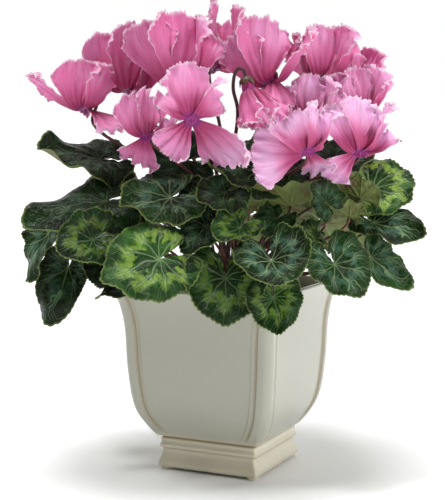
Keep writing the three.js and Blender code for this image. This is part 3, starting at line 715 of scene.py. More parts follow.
def cream_glaze(colours):
    """Glossy glaze on slip-cast ware: cream, browner where it pools in grooves and on the foot. The
    foot is painted warmer and paler: a warmer glaze, and painted light that lifts the shade round
    the foot.
    """
    material = new_material("cream_glaze", IOR=1.5, Coat_Weight=0.3, Coat_Roughness=0.06)
    add = partial(add_node, material)
    spot = add("TexCoord").outputs["Object"]
    drift = add("TexNoise", (spot, repeats(GLAZE_DRIFT), 2.0))
    height = add("SeparateXYZ", (spot,)).outputs[2]
    # Painted light: below the bowl the glaze turns paler and warmer, lifting the shade round the
    # foot
    low = add("MapRange", (height, 40 * MM, 28 * MM, 0.0, 0.7), **SMOOTH)
    cloudy = add("MapRange", (drift, 0.3, 0.7, 0.0, 0.3))
    pooled = noted(material, "groove")[0]
    colour = colours.glaze
    for factor, paint in ((cloudy, linear(GLAZE_CLOUD)), (low, linear(FOOT_GLAZE_AND_LIGHT)),
                          (pooled, linear(GLAZE_GROOVE))):
        colour = add("Mix", (factor, colour, paint), data_type="RGBA")
    rough = add("MapRange", (drift, 0.0, 1.0, 0.1, 0.26))
    bump = add("Bump", {"Height": drift, "Distance": 1.5 * MM, "Strength": 0.25})
    lead_to_shader(material, Base_Color=colour, Roughness=rough, Normal=bump)
    return material


# Pot

# Outside of the pot: half side and height, above the pads for its foot and bowl and above the floor
# for its lip. The bowl's points have a 0 between, because its curve runs through points in space.
FOOT_PROFILE = (
    (50.4, 0), (51.6, 0.3), (52.3, 1), (52.5, 2.2), (52.4, 4.4), (51.8, 6.4), (50.7, 8.8),
    (49.9, 11.2), (49.2, 14.2), (48.8, 16.6), (48.8, 17.8), (49.5, 18.6), (50.5, 19.0),
    (50.9, 19.7), (50.9, 21.8), (50.6, 22.6), (50.2, 23.1), (50.2, 26.9), (50.0, 27.9),
    (49.2, 28.9), (48.6, 29.6), (48.7, 30.3), (50.2, 30.6), (52.2, 30.8),
)
BOWL_POINTS = ((53.5, 0, 31.3), (62, 0, 42), (70, 0, 59), (75, 0, 97), (77, 0, 138), (80.5, 0, 160),
               (85, 0, 174))
BOWL_ROWS = 34
# Share of the bowl's height over which its corner bands begin to stand proud
BAND_START = 0.1875
# Where glaze pools on the foot: from and to which height, and how much
FOOT_POOLS = ((17, 18.8, 0.4), (28.8, 30.7, 0.9))
# Underside of the foot, from near its middle out to its edge
UNDERSIDE = ((4.0, 0.6), (44, 0.6), (46.5, 0.0))
LIP_PROFILE = ((85.2, 176.6), (85.1, 177.5), (84.6, 178.2), (83.8, 178.5), (79.6, 178.5),
               (78.4, 178.2), (77.6, 177.4))
# Half side of the lip within which it has no bands
LIP_INSIDE = 83
# Inside of the pot: heights in its mouth, whose half side inner_half gives, then half side and
# height from there down to its floor, and what inner_half works from
MOUTH_HEIGHTS = (172, 166, 160, 152, 145, 135)
INNER_PROFILE = ((67.5, 100), (63, 66), (54, 48), (42.7, 34), (42.7, 12), (40, 9.5), (3, 9.5))
BOWL_HALF = 77
FLARE_FROM = 140
FLARE = 7
# Along a side, from its corner: distance from the next side, how far the face stands back (in
# panel recesses), and how much glaze pools there
SIDE_STEPS = (
    (8.0, 0.0, 0.0), (10.0, 0.0, 0.0), (11.6, 0.0, 0.0), (12.4, 0.1, 0.1), (13.0, 0.7, 0.4),
    (13.6, 1.4, 0.75), (14.3, 1.6, 0.7), (15.0, 1.4, 0.4), (15.9, 1.05, 0.1), (17.0, 1.0, 0.0),
    (17.8, 0.82, 0.1), (18.4, 0.6, 0.28), (19.0, 0.82, 0.28), (19.7, 1.0, 0.1), (22.0, 1.0, 0.0),
)
# Even steps from the middle of a side to the first of those
SIDE_MIDDLE = (0.0, 0.33, 0.66)
CORNER_STEPS = 6


def banded_square(half, radius, recess, stand):
    """Outline of the pot at one height, from the middle of its +X side round to the next side's:
    points and the glaze pooled at them. Corner bands stand proud of the side panels."""
    spacing = half - SIDE_STEPS[-1][0]
    quarter = [(half - recess, spacing * share, 0.0) for share in SIDE_MIDDLE]
    for inset, back, pool in reversed(SIDE_STEPS):
        inset = min(inset, half) if inset > SIDE_STEPS[0][0] else radius
        quarter.append((half - recess * back, half - inset, pool * stand))
    for i in range(1, CORNER_STEPS):
        angle = math.pi / 2 * i / CORNER_STEPS
        reach = half - radius
        quarter.append((reach + radius * math.cos(angle), reach + radius * math.sin(angle), 0.0))
    side = quarter[:len(quarter) - CORNER_STEPS + 1]
    mirrored = [(y, x, pool) for x, y, pool in reversed(side)]
    quarter = quarter + mirrored[:-1]
    ring = []
    for cosine, sine in ((1, 0), (0, 1), (-1, 0), (0, -1)):
        ring += [(x * cosine - y * sine, x * sine + y * cosine, pool) for x, y, pool in quarter]
    return ring


def inner_half(height):
    """Half side of the upper part of the pot's inside, which flares towards the mouth."""
    rise = max(height - FLARE_FROM, 0) / (POT_HEIGHT - FLARE_FROM)
    return BOWL_HALF - WALL - PANEL_RECESS + FLARE * rise ** 1.6


def pot_rings():
    """Rings of the pot from the middle of its underside, over the rim and down to its floor."""
    rings = []
    for half, height in UNDERSIDE + FOOT_PROFILE:
        pool = sum(amount for low, high, amount in FOOT_POOLS if low <= height <= high)
        rings.append((half, height + PAD_HEIGHT, FOOT_CORNER_RADIUS, 0.0, pool))
    for i in range(BOWL_ROWS + 1):
        half, _, height = curve_point(BOWL_POINTS, i / BOWL_ROWS)
        stand = float(eased(i / BOWL_ROWS, 0, BAND_START))
        radius = FOOT_CORNER_RADIUS + (CORNER_RADIUS - FOOT_CORNER_RADIUS) * stand
        rings.append((half, height + PAD_HEIGHT, radius, stand, 0.0))
    for half, height in LIP_PROFILE:
        stand = 1.0 if half > LIP_INSIDE else 0.0
        rings.append((half, height, CORNER_RADIUS, stand, 0.0))
    for height in MOUTH_HEIGHTS:
        rings.append((inner_half(height), height, CORNER_RADIUS, 0.0, 0.0))
    for half, height in INNER_PROFILE:
        rings.append((half, height, min(CORNER_RADIUS, half / 2), 0.0, 0.0))
    return rings


def build_pot(colours):
    outlines = []
    for half, height, radius, stand, pool in pot_rings():
        outline = banded_square(half, radius, PANEL_RECESS * stand, stand)
        outline.append(outline[0])
        outlines.append([(x, y, height, max(groove, pool)) for x, y, groove in outline])
    outlines = np.array(outlines)
    rows, columns = outlines.shape[0] - 1, outlines.shape[1] - 1
    pot = flat_grid("glazed_pot", columns, rows)

    def at_grid(u, v):
        return outlines[np.rint(v * rows).astype(int), np.rint(u * columns).astype(int)]

    places = grid_places(pot.data)
    note(pot, "groove", at_grid(places[:, 0], places[:, 1])[:, 3:4])
    shaped(pot, lambda u, v: at_grid(u, v)[:, :3])
    close_ends(pot)
    sides = (-PAD_PLACE, PAD_PLACE)
    pads = [pad_under_corner(x, y) for x in sides for y in sides]
    select_only(pot, *pads)
    bpy.ops.object.join()
    pot.data.materials.append(cream_glaze(colours))
    finish_piece(pot, "pot_glaze", "pot")


def close_ends(shell):
    """Fills the small holes at both ends of a shell of rings and points all its faces outwards."""
    select_only(shell)
    bpy.ops.object.mode_set(mode="EDIT")
    bpy.ops.mesh.select_mode(type="EDGE")
    bpy.ops.mesh.select_all(action="DESELECT")
    bpy.ops.mesh.select_non_manifold(extend=False)
    bpy.ops.mesh.fill_holes(sides=0)
    bpy.ops.mesh.select_all(action="SELECT")
    bpy.ops.mesh.normals_make_consistent(inside=False)
    bpy.ops.object.mode_set(mode="OBJECT")


def pad_under_corner(x, y):
    """A pad with a rounded lower edge that runs up into the foot; bare clay on the real pot, it
    takes the pot's glaze here.
    """
    height = PAD_HEIGHT + 1
    pad = new_object("pad", bpy.ops.mesh.primitive_cylinder_add, vertices=24,
                     radius=PAD_RADIUS * MM, depth=height * MM,
                     location=(x * MM, y * MM, height / 2 * MM))
    bpy.ops.object.transform_apply(location=True, rotation=True, scale=True)
    with_modifier(pad, "BEVEL", width=0.6 * MM, segments=2, limit_method="ANGLE")
    return pad


# Soil and tuber

# The soil's square is rounded by this power, and its top takes this share of the grid's rows
SOIL_POWER = 9
SOIL_SHOULDER = 0.7
SOIL_DOME = 2.0
SOIL_LUMPS = 1.6
# Half side of the soil at heights inside the pot
SOIL_LEVELS = (11, 34, 48, 66, 100, 140, 163)
SOIL_HALVES = (42, 42, 53, 62, 66.5, 69, 72)


def build_soil(colours):
    soil = flat_grid("potting_soil", columns=96, rows=40)

    def heap(u, v):
        turn = u * 2 * math.pi
        cosine, sine = np.cos(turn), np.sin(turn)
        square = (np.abs(cosine) ** SOIL_POWER + np.abs(sine) ** SOIL_POWER) ** (-1 / SOIL_POWER)
        top = np.clip(v / SOIL_SHOULDER, 0, 1)
        half = (inner_half(SOIL_TOP) - 2 * GAP) * top
        height = SOIL_TOP - 1.2 + SOIL_DOME * (1 - top ** 2)
        points = np.stack([half * square * cosine, half * square * sine, height], 1)
        for i in np.flatnonzero(top < 0.99):
            place = Vector((points[i, 0], points[i, 1], 0.0))
            points[i, 2] += SOIL_LUMPS * noise.fractal(place / 9, 0.8, 2.0, 4)
        points[:, 2] = np.minimum(points[:, 2], SOIL_TOP + 1.5)
        below = v > SOIL_SHOULDER
        depth = (v[below] - SOIL_SHOULDER) / (1 - SOIL_SHOULDER)
        level = SOIL_TOP - 2 - depth * (SOIL_TOP - 12)
        halves = np.interp(level, SOIL_LEVELS, SOIL_HALVES) * np.where(depth > 0.97, 0.02, 1.0)
        points[below, 0] = halves * square[below] * cosine[below]
        points[below, 1] = halves * square[below] * sine[below]
        points[below, 2] = level
        return points

    shaped(soil, heap)
    close_ends(soil)
    soil.data.materials.append(potting_soil(colours))
    finish_piece(soil, "soil", "soil")


def build_tuber():
    tuber = flat_grid("corky_tuber", columns=48, rows=28)

    def corm(u, v):
        turn, rise = u * 2 * math.pi, (v - 0.5) * math.pi
        reach = TUBER_RADIUS * np.cos(rise)
        points = np.stack([reach * np.cos(turn), reach * np.sin(turn),
                           TUBER_HEIGHT * np.sin(rise)], 1)
        for point in points:
            point *= 1 + 0.03 * noise.fractal(Vector(point.tolist()) / 8, 0.8, 2.0, 3)
        points[:, 2] += TUBER_MIDDLE
        return on_pot(points)

    shaped(tuber, corm)
    tuber.data.materials.append(corky_tuber())
    finish_piece(tuber, "stem", "tuber_and_stems")


# Leaves

def far_leaves():
    """The far side's leaves, in two tiers of shingles that follow the pot round."""
    draw = draws(FAR_SEED)
    leaves = []
    for count, first, last, reach, height, drop, length in FAR_TIERS:
        for i in range(count):
            angle = math.radians(first + (last - first) * i / (count - 1))
            out = reach + FAR_SCATTER * next(draw)
            x, y = math.cos(angle), math.sin(angle)
            at = (out * x, out * y, height + FAR_SCATTER * next(draw))
            tip = ((out + length) * x, (out + length) * y, at[2] - drop)
            leaves.append(dict(at=at, tip=tip, face=(-SHINGLE_ROLL * y, SHINGLE_ROLL * x, 0.9),
                               roundness=0.7, cup=-0.08, tone=(0.2 + 0.06 * (i % 3), 0.5, 0.1)))
    return leaves


def finished_leaf(row, index):
    """A leaf's row with its defaults, its frame of directions and its own draw."""
    leaf = dict(roundness=0.62, cup=0.05, lift=0, heel=0, fold=0.05, wave=0.035, waves=4, crumple=1)
    leaf.update(row)
    draw = draws(index + 1)
    leaf["at"] = np.array(row["at"], float)
    along = np.array(row["tip"], float) - leaf["at"]
    leaf["length"] = float(np.linalg.norm(along))
    leaf["forward"] = unit(along)
    face = np.array(row["face"], float)
    leaf["face"] = unit(face - leaf["forward"] * np.dot(face, leaf["forward"]))
    leaf["side"] = np.cross(leaf["face"], leaf["forward"])
    leaf["phase"] = math.pi * next(draw)
    leaf["ruffle_phase"] = math.pi * next(draw)
    return leaf


LEAF_ROWS = [finished_leaf(row, index) for index, row in enumerate(LEAVES + far_leaves())]


def blade_shape(leaf, sizes):
    """Shape of one blade: rounded heart, soft lobes with small teeth, ruffled and quilted."""
    length, phase, waver = leaf["length"], leaf["phase"], leaf["ruffle_phase"]
    ruffle = sizes.leaf_ruffle / MM / length
    teeth = sizes.tooth_depth / MM / length
    quilt = sizes.leaf_quilting / MM / length

    def blade(u, v):
        # Outline: a heart with a notch at the stalk and a small tip, lobed and toothed
        angle = (0.5 - u) * 2 * BLADE_END
        size = np.abs(angle)
        lobe = 1 - 0.06 * np.sin(size / 2) ** 2 - 0.3 * eased(size, 2.45, BLADE_END) ** 2
        outline = leaf["roundness"] * lobe + (1 - leaf["roundness"]) * np.exp(-((size / 0.62) ** 2))
        outline = outline + 0.05 * np.exp(-((size / 0.14) ** 2))
        between = zigzag(u * LOBES)
        tooth = zigzag(u * LEAF_TEETH) * eased(v, 0.88, 1)
        reach = v * outline * (1 - LOBE_DEPTH * between ** 2 * v ** 2 - teeth * tooth)
        x, y = reach * np.cos(angle), reach * np.sin(angle)

        # Height over the blade's plane: how it is bent, then its waves, ruffle, quilting and roll
        rise = sizes.leaf_hollow * (1 - np.exp(-((reach / 0.3) ** 2))) + leaf["cup"] * reach ** 2
        rise += leaf["lift"] * np.maximum(0, x) ** 2 + leaf["heel"] * np.maximum(0, -x) ** 2
        rise += leaf["fold"] * (np.hypot(y, 0.15) - 0.15)
        rise += leaf["wave"] * v ** 3 * np.sin(leaf["waves"] * angle + phase)
        rise += ruffle * v ** 4 * np.sin(10 * angle + waver)
        swell = 0.5 + 0.5 * np.sin(19 * v + 2.4 * np.floor(u * LOBES) + waver)
        rise += quilt * np.sin(between * math.pi / 2) * np.sin(v * math.pi) ** 0.7 * swell
        billow = np.sin(5.2 * x + 3.1 * y + waver) * np.sin(4.6 * y - 2.4 * x + phase)
        curl = (0.1 + 0.9 * np.sin(2 * angle + waver)) * eased(v, 0.62, 1.05) ** 2
        rise += leaf["crumple"] * (sizes.leaf_billow * billow * v - sizes.leaf_roll * curl)
        return on_pot(leaf["at"] + np.outer(x * length, leaf["forward"])
                      + np.outer(y * length, leaf["side"]) + np.outer(rise * length, leaf["face"]))

    return blade


def build_leaves(sizes, colours):
    template = flat_grid("blade", BLADE_COLUMNS * LEAF_TEETH, BLADE_ROWS)
    skins = (cyclamen_leaf(colours), leaf_back(colours), leaf_rim())
    for index, leaf in enumerate(LEAF_ROWS):
        number = f"{index + 1:02d}"
        blade = thin_piece(template, "leaf_blade_" + number, blade_shape(leaf, sizes), skins,
                           lambda v: 1 - (1 - v) ** 1.25, thickness=sizes.blade_thickness,
                           offset=-1, material_offset=1, material_offset_rim=2)
        note(blade, "tone", leaf["tone"])
        finish_piece(blade, "leaf", "leaf_" + number)
    bpy.data.objects.remove(template)


# Stems

def spread_angles(angles):
    """Angles on the tuber for stems that lean towards given angles, spread in the same order."""
    order = sorted(range(len(angles)), key=lambda i: angles[i])
    even = {i: (2 * place + 1) / len(angles) * math.pi - math.pi for place, i in enumerate(order)}
    return [0.4 * angle + 0.6 * even[i] for i, angle in enumerate(angles)]


def crown_point(angle, radius):
    """Point just under the tuber's skin, at an angle and a distance from its middle."""
    height = TUBER_MIDDLE - ROOT_DEPTH + TUBER_HEIGHT * math.sqrt(1 - (radius / TUBER_RADIUS) ** 2)
    return np.array((radius * math.cos(angle), radius * math.sin(angle), height))


def petiole_route(leaf, root):
    """Points of a leaf stalk, from the tuber over to the back of its blade."""
    approach = unit(leaf["over"]) if "over" in leaf else leaf["face"]
    cosine = float(np.clip(np.dot(approach, leaf["face"]), -1, 1))
    standoff = 0.8 + GAP + 1.5 * math.sin(math.acos(cosine))
    end = leaf["at"] - leaf["face"] * standoff
    spread = math.hypot(end[0], end[1])
    climb = leaf.get("climb", max(25, 0.5 * (end[2] - root[2])))
    first = np.array((root[0] * 1.5, root[1] * 1.5, root[2] + climb))
    last = end - approach * leaf.get("bend", 0.22 * spread)
    points = []
    for share in np.linspace(0, 1, LEAF_STALK_POINTS):
        rest = 1 - share
        points.append(rest ** 3 * root + 3 * rest ** 2 * share * first
                      + 3 * rest * share ** 2 * last + share ** 3 * end)
    return points


def stalk_route(bloom, root):
    """Points of a flower stalk: up from the tuber, past the petals and over in a hook."""
    aside, up, at = around_bloom(bloom, bloom["stem"]), bloom["up"], bloom["at"]
    hook = THROAT_HEIGHT + CALYX_HEIGHT + 10
    reach = bloom.get("aside", STALK_ASIDE)
    passing = bloom.get("behind", STALK_BEHIND)

    def off(out, height):
        return at + aside * out + up * height

    below = off(reach, passing)
    first = np.array((root[0], root[1], root[2] + 45))
    lean = bloom.get("lean", STALK_LEAN)
    middle = np.array((lean * below[0], lean * below[1], root[2] + 0.72 * (below[2] - root[2])))
    beside = off(reach, passing + 20 if passing < 0 else 16)
    points = (root, first, middle, below, beside, off(9, hook - 3), off(4.5, hook),
              off(0.6, hook - 3), off(0, THROAT_HEIGHT + CALYX_HEIGHT - 1))
    return [curve_point(points, share) for share in np.linspace(0, 1, FLOWER_STALK_POINTS)]


def tubes(name, routes, radius, taper):
    """Round stems along routes, as one mesh. taper gives the thickness at a share of the way."""
    stems = new_object(name, bpy.ops.curve.primitive_nurbs_path_add)
    curve = stems.data
    curve.splines.clear()
    for route in routes:
        spline = curve.splines.new("POLY")
        spline.points.add(len(route) - 1)
        for i, place in enumerate(on_pot(np.array(route)) * MM):
            spline.points[i].co = (*place, 1)
            spline.points[i].radius = taper(i / (len(route) - 1))
    curve.bevel_depth = radius
    curve.bevel_resolution = 3
    curve.use_fill_caps = True
    select_only(stems)
    bpy.ops.object.convert(target="MESH")
    return bpy.context.object


def build_leaf_stalks(sizes):
    """Stalks of the high leaves rise in an inner ring on the tuber, and the others round them."""
    roots = {}
    for ring, high in ((HIGH_RING, True), (LOW_RING, False)):
        members = [i for i, leaf in enumerate(LEAF_ROWS) if (leaf["at"][2] >= HIGH_LEAF) == high]
        angles = spread_angles([bearing(LEAF_ROWS[i]["at"]) for i in members])
        roots.update({i: crown_point(angle, ring) for i, angle in zip(members, angles)})
    routes = [petiole_route(leaf, roots[i]) for i, leaf in enumerate(LEAF_ROWS)]
    stalks = tubes("leaf_stalks", routes, sizes.leaf_stalk_radius, lambda share: 1.15 - 0.3 * share)
    stalks.data.materials.append(fleshy_stem("leaf_stalk_skin", "#3a1f18", "#74482f"))
    finish_piece(stalks, "stem", "tuber_and_stems")


def build_flower_stalks(sizes):
    angles = spread_angles([bearing(bloom["at"]) for bloom in BLOOM_ROWS])
    roots = [crown_point(angle, STALK_RING) for angle in angles]
    routes = [stalk_route(bloom, root) for bloom, root in zip(BLOOM_ROWS, roots)]
    stalks = tubes("flower_stalks", routes, sizes.flower_stalk_radius,
                   lambda share: 1.1 - 0.2 * share + 0.25 * max(0, share - 0.92) / 0.08)
    stalks.data.materials.append(fleshy_stem("flower_stalk_skin", "#3e1d20", "#6e3a34"))
    finish_piece(stalks, "stem", "tuber_and_stems")


def build_calyces():
    template = flat_grid("sepals", SEPAL_COLUMNS * SEPALS, SEPAL_ROWS)
    skins = (fleshy_stem("calyx_skin", "#4a3326", "#7c6a3e"),)
    calyces = [thin_piece(template, f"calyx_{index + 1:02d}", calyx_shape(bloom), skins,
                          thickness=0.6 * MM, offset=1) for index, bloom in enumerate(BLOOM_ROWS)]
    bpy.data.objects.remove(template)
    select_only(*calyces)
    bpy.ops.object.join()
    whole = bpy.context.object
    whole.name = "calyces"
    finish_piece(whole, "stem", "tuber_and_stems")


def calyx_shape(bloom):
    """Five pointed sepals that hug the throat, gathered into the stalk."""
    def calyx(u, v):
        turn = u * 360
        point = zigzag(u * SEPALS)
        low = THROAT_HEIGHT + GAP - 5.2 * (1 - point) ** 0.8 + 0.2
        height = low + (THROAT_HEIGHT + CALYX_HEIGHT + 0.6 - low) * v
        past = np.clip((height - THROAT_HEIGHT) / (CALYX_HEIGHT + 0.6), 0, 1)
        radius = (THROAT_RADIUS + 0.5) * np.sqrt(1 - past ** 2 * 0.93)
        radius = radius + 0.7 * (1 - v) * (1 - point)
        return bloom_points(bloom, turn, radius, height)
    return calyx


# Flowers

def finished_bloom(row, index):
    """A flower's row with its own directions."""
    bloom = dict(row)
    bloom["at"] = np.array(row["at"], float)
    bloom["mouth"] = unit(row["mouth"])
    bloom["up"] = -bloom["mouth"]
    bloom["right"] = unit(np.array((1, 0, 0)) - bloom["mouth"] * bloom["mouth"][0])
    bloom["back"] = np.cross(bloom["right"], bloom["mouth"])
    bloom["draw"] = draws(100 + index)
    return bloom


BLOOM_ROWS = [finished_bloom(row, index) for index, row in enumerate(BLOOMS)]


def around_bloom(bloom, degrees):
    turn = math.radians(degrees)
    return bloom["right"] * math.cos(turn) + bloom["back"] * math.sin(turn)


def bloom_points(bloom, degrees, radius, height):
    """Points round a flower's axis, placed on the plant as it stands in the pot."""
    turn = np.radians(degrees)
    return on_pot(bloom["at"] + np.outer(radius * np.cos(turn), bloom["right"])
                  + np.outer(radius * np.sin(turn), bloom["back"]) + np.outer(height, bloom["up"]))


def rolled_back(travelled, flare):
    """A petal's way out of the mouth, rolled back to its flare and then straight: how far out and
    up a point lies, the slope there, and how far the petal has run straight."""
    first, last = math.radians(PETAL_START), math.radians(90 - flare)
    roll = PETAL_ROLL * (last - first)
    sense = 1 if roll > 0 else -1
    turned = np.minimum(travelled, abs(roll)) * sense
    slope = first + turned / PETAL_ROLL
    straight = travelled - np.abs(turned)
    out = PETAL_ROLL * (np.sin(slope) - math.sin(first)) * sense + straight * np.cos(slope)
    rise = PETAL_ROLL * (math.cos(first) - np.cos(slope)) * sense + straight * np.sin(slope)
    return out, rise, slope, straight


def petal_shape(bloom, row, sizes):
    """Shape of one petal: rolled back at the mouth, twisted, creased and frilled at its edge."""
    degrees, flare, length, share, turned_by = row if len(row) == 5 else row + (1, 0)
    draw = bloom["draw"]
    width = ((11 + 0.5 * length) * bloom.get("wide", 1) + 3 * next(draw)) * share
    twist = 0.55 + 0.08 * next(draw) + turned_by
    camber = 0.12 + 0.06 * next(draw)
    bow = 0.12 * next(draw)
    phase = math.pi * next(draw)
    width *= sizes.petal_fullness
    outward = around_bloom(bloom, degrees)
    side = np.cross(outward, bloom["up"])
    frill, fold = sizes.petal_frill / MM, sizes.petal_fold / MM
    fringe, crease = sizes.petal_fringe / MM, sizes.petal_crease / MM

    def petal(u, v):
        # How far along the petal a point lies, with a rounded and fringed end
        across = 2 * u - 1
        cuts = zigzag(u * PETAL_TEETH) * (0.7 + 0.3 * np.sin(31 * across + phase))
        tip = 1 - 0.12 * across ** 2 * eased(v, 0.3, 1) - 0.1 * across ** 6 * eased(v, 0.6, 1)
        tip = tip - 0.07 * math.sin(3 * phase) * across * eased(v, 0.4, 1)
        tip = tip - fringe / length * cuts * eased(v, 0.93, 1)
        tip = tip - 0.03 * (0.5 + 0.5 * np.sin(8 * across + 5 * phase)) * eased(v, 0.7, 1)
        out, rise, slope, straight = rolled_back(length * v * tip, flare)

        # Breadth, from the claw to the frill, with cuts in both sides
        breadth = CLAW_WIDTH + (width - CLAW_WIDTH) * eased(v, -0.1, 0.78)
        breadth = breadth * (1 - 0.14 * eased(v, 0.8, 1.05))
        notch = zigzag(v * PETAL_SIDE_TEETH) * eased(v, 0.3, 0.6) * (np.abs(across) > 0.98)
        breadth = breadth - 1.2 * fringe * notch
        reach = across * breadth / 2

        # Bend out of its own plane: camber, soft waves, creases, the frill's laps and one fold
        bend = camber * across ** 2 * breadth / 2 * eased(v, 0, 0.5)
        bend += 1.5 * eased(v, 0.3, 1) * np.sin(7 * across + phase)
        bend += 1.3 * eased(v, 0.3, 1) * np.sin(9 * v + 3 * across + 4 * phase)
        creases = 12 + 3 * math.sin(7 * phase)
        bend += crease * np.sin(creases * across + 2 * phase) * np.sin(math.pi * v) ** 0.8
        edge = np.maximum(np.abs(across) ** 3 * eased(v, 0.25, 0.6), eased(v, 0.55, 1))
        laps = np.sin(length * v * 0.5 * np.sign(across) + phase * 3) * np.abs(across) ** 4
        laps = np.sin(reach * 0.62 + 2.2 * v + phase) + 0.7 * laps
        bend += frill * (edge ** 1.5 + 0.5 * eased(v, 0.8, 1)) * laps
        bend += 0.3 * frill * edge ** 3 * np.sin(reach * 1.7 + length * v * 0.9 + phase)
        folds = 2.6 + 1.4 * math.sin(5 * phase)
        bend += fold * eased(v, 0.15, 0.9) * np.sin(folds * across + 2 * phase)

        # Twist round its own middle
        turn = twist * (0.55 + 0.9 * v)
        turned_side = reach * np.cos(turn) - bend * np.sin(turn)
        lifted = reach * np.sin(turn) + bend * np.cos(turn) + bow * straight ** 2 / length
        normal = np.outer(np.sin(slope), outward) - np.outer(np.cos(slope), bloom["up"])
        return on_pot(bloom["at"] + np.outer(THROAT_RADIUS - 1 + out, outward)
                      + np.outer(2 + rise, bloom["up"]) + np.outer(turned_side, side)
                      + normal * lifted[:, None])

    return petal


# Throat of a flower from the tip of its style, through its mouth, to its closed end: radius and
# height in mm
THROAT_PROFILE = ((0.05, -2.6), (0.5, -2.4), (0.55, -0.6), (1.9, 0.6), (3.8, 0.7), (4.9, 0.2),
                  (5.6, 0.8), (5.9, 3), (5.8, 6), (5.4, 8.6), (4.4, 10.1), (0.05, 10.3))


def throat_shape(bloom):
    def throat(u, v):
        places = np.linspace(0, 1, len(THROAT_PROFILE))
        radius, height = (np.interp(v, places, numbers) for numbers in zip(*THROAT_PROFILE))
        radius = radius * (1 + 0.07 * np.cos(10 * math.pi * u) * eased(radius, 3, 5))
        return bloom_points(bloom, u * 360, radius, height)
    return throat


def build_flowers(sizes, colours):
    template = flat_grid("petal", PETAL_COLUMNS * PETAL_TEETH, PETAL_ROWS)
    throats = flat_grid("throat", columns=30, rows=len(THROAT_PROFILE) - 1)
    skins, tube = (petal_skin(colours),), flower_throat(colours)
    for index, bloom in enumerate(BLOOM_ROWS):
        number = f"{index + 1:02d}"
        petals = []
        for row in bloom["petals"]:
            petal = thin_piece(template, f"petal_{number}_{len(petals) + 1}",
                               petal_shape(bloom, row, sizes), skins,
                               thickness=sizes.petal_thickness, offset=0)
            note(petal, "tone", (bloom.get("pale", 0), 0, 0))
            petals.append(petal)
        throat = shaped(copied(throats, f"throat_{number}"), throat_shape(bloom))
        close_ends(throat)
        throat.data.materials.append(tube)
        select_only(throat, *petals)
        bpy.ops.object.join()
        throat.name = "flower_" + number
        finish_piece(throat, "petal", "bloom_" + number)
    for used in (template, throats):
        bpy.data.objects.remove(used)


# Settings that a user would change

def length_property(name, description, default, low, high):
    """A length, given here in mm."""
    return bpy.props.FloatProperty(name=name, description=description, default=default * MM,
                                   min=low * MM, max=high * MM, unit="LENGTH")


def share_property(name, description, default, low, high):
    return bpy.props.FloatProperty(name=name, description=description, default=default,
                                   min=low, max=high, subtype="FACTOR")


class CyclamenSizes(bpy.types.PropertyGroup):
    """Sizes of the plant's fine forms."""

    blade_thickness: length_property("Blade thickness", "Thickness of a leaf blade", 0.8, 0.6, 2)
    tooth_depth: length_property(
        "Leaf teeth", "Depth of the small teeth on a leaf's edge", 1.7, 0, 3)
    leaf_ruffle: length_property(
        "Leaf ruffle", "Height of the small waves near a leaf's edge", 2.1, 0, 4)
    leaf_quilting: length_property(
        "Leaf quilting", "How far a blade swells between its main veins", 1.3, 0, 3)
    leaf_billow: share_property(
        "Leaf billow", "Height of a blade's broad waves, in shares of its length", 0.08, 0, 0.15)
    leaf_hollow: share_property(
        "Leaf hollow", "Depth of a blade's dark middle, in shares of its length", 0.07, 0, 0.15)
    leaf_roll: share_property(
        "Leaf roll", "How far a blade's edge rolls under, in shares of its length", 0.1, 0, 0.2)
    petal_thickness: length_property("Petal thickness", "Thickness of a petal", 0.7, 0.6, 2)
    petal_fullness: share_property(
        "Petal fullness", "Width of the petals against the frame's", 1.25, 0.8, 1.3)
    petal_frill: length_property("Petal frill", "Height of the waves at a petal's edge", 2.7, 0, 4)
    petal_fringe: length_property(
        "Petal fringe", "Depth of the small cuts in a petal's edge", 2.5, 0, 3)
    petal_crease: length_property(
        "Petal creases", "Depth of the long creases in a petal", 0.9, 0, 2)
    petal_fold: length_property(
        "Petal fold", "Depth of the broad fold that runs up a petal", 3.8, 0, 5)
    leaf_stalk_radius: length_property(
        "Leaf stalk radius", "Radius of a leaf stalk at its middle", 1.4, 0.8, 3)
    flower_stalk_radius: length_property(
        "Flower stalk radius", "Radius of a flower stalk at its middle", 1.6, 0.8, 3)


def colour_property(name, description, hex_colour):
    return bpy.props.FloatVectorProperty(name=name, description=description,
                                         default=linear(hex_colour), size=4, min=0, max=1,
                                         subtype="COLOR")


class CyclamenColours(bpy.types.PropertyGroup):
    """Main colours of the plant and its pot."""

    leaf: colour_property("Leaf", "Middle green of the leaves", "#15380f")
    vein: colour_property("Leaf vein", "Veins on a leaf's upper face", "#a3bd8c")
    underside: colour_property("Leaf underside", "Under side of the leaves", "#67743a")
    petal: colour_property("Petal", "Main pink of the petals", "#dd74aa")
    petal_edge: colour_property("Petal edge", "Frilled edge of the petals", "#f0cfdf")
    eye: colour_property("Petal eye", "Throat and foot of the petals", "#8c2473")
    glaze: colour_property("Pot glaze", "Glaze of the pot", "#a7a799")
    soil: colour_property("Soil", "Potting soil", "#3a2a1e")
    floor: colour_property("Floor", "Floor under the pot", "#f9f9f9")


# Operators

class CYCLAMEN_OT_pot(bpy.types.Operator):
    """Builds the glazed pot with its bands, foot and pads"""

    bl_idname = "cyclamen.pot"
    bl_label = "Glazed pot"

    def execute(self, context):
        build_pot(context.scene.cyclamen_colours)
        return {"FINISHED"}


class CYCLAMEN_OT_soil(bpy.types.Operator):
    """Fills the pot with soil and sets the tuber in it"""

    bl_idname = "cyclamen.soil"
    bl_label = "Soil and tuber"

    def execute(self, context):
        build_soil(context.scene.cyclamen_colours)
        build_tuber()
        return {"FINISHED"}


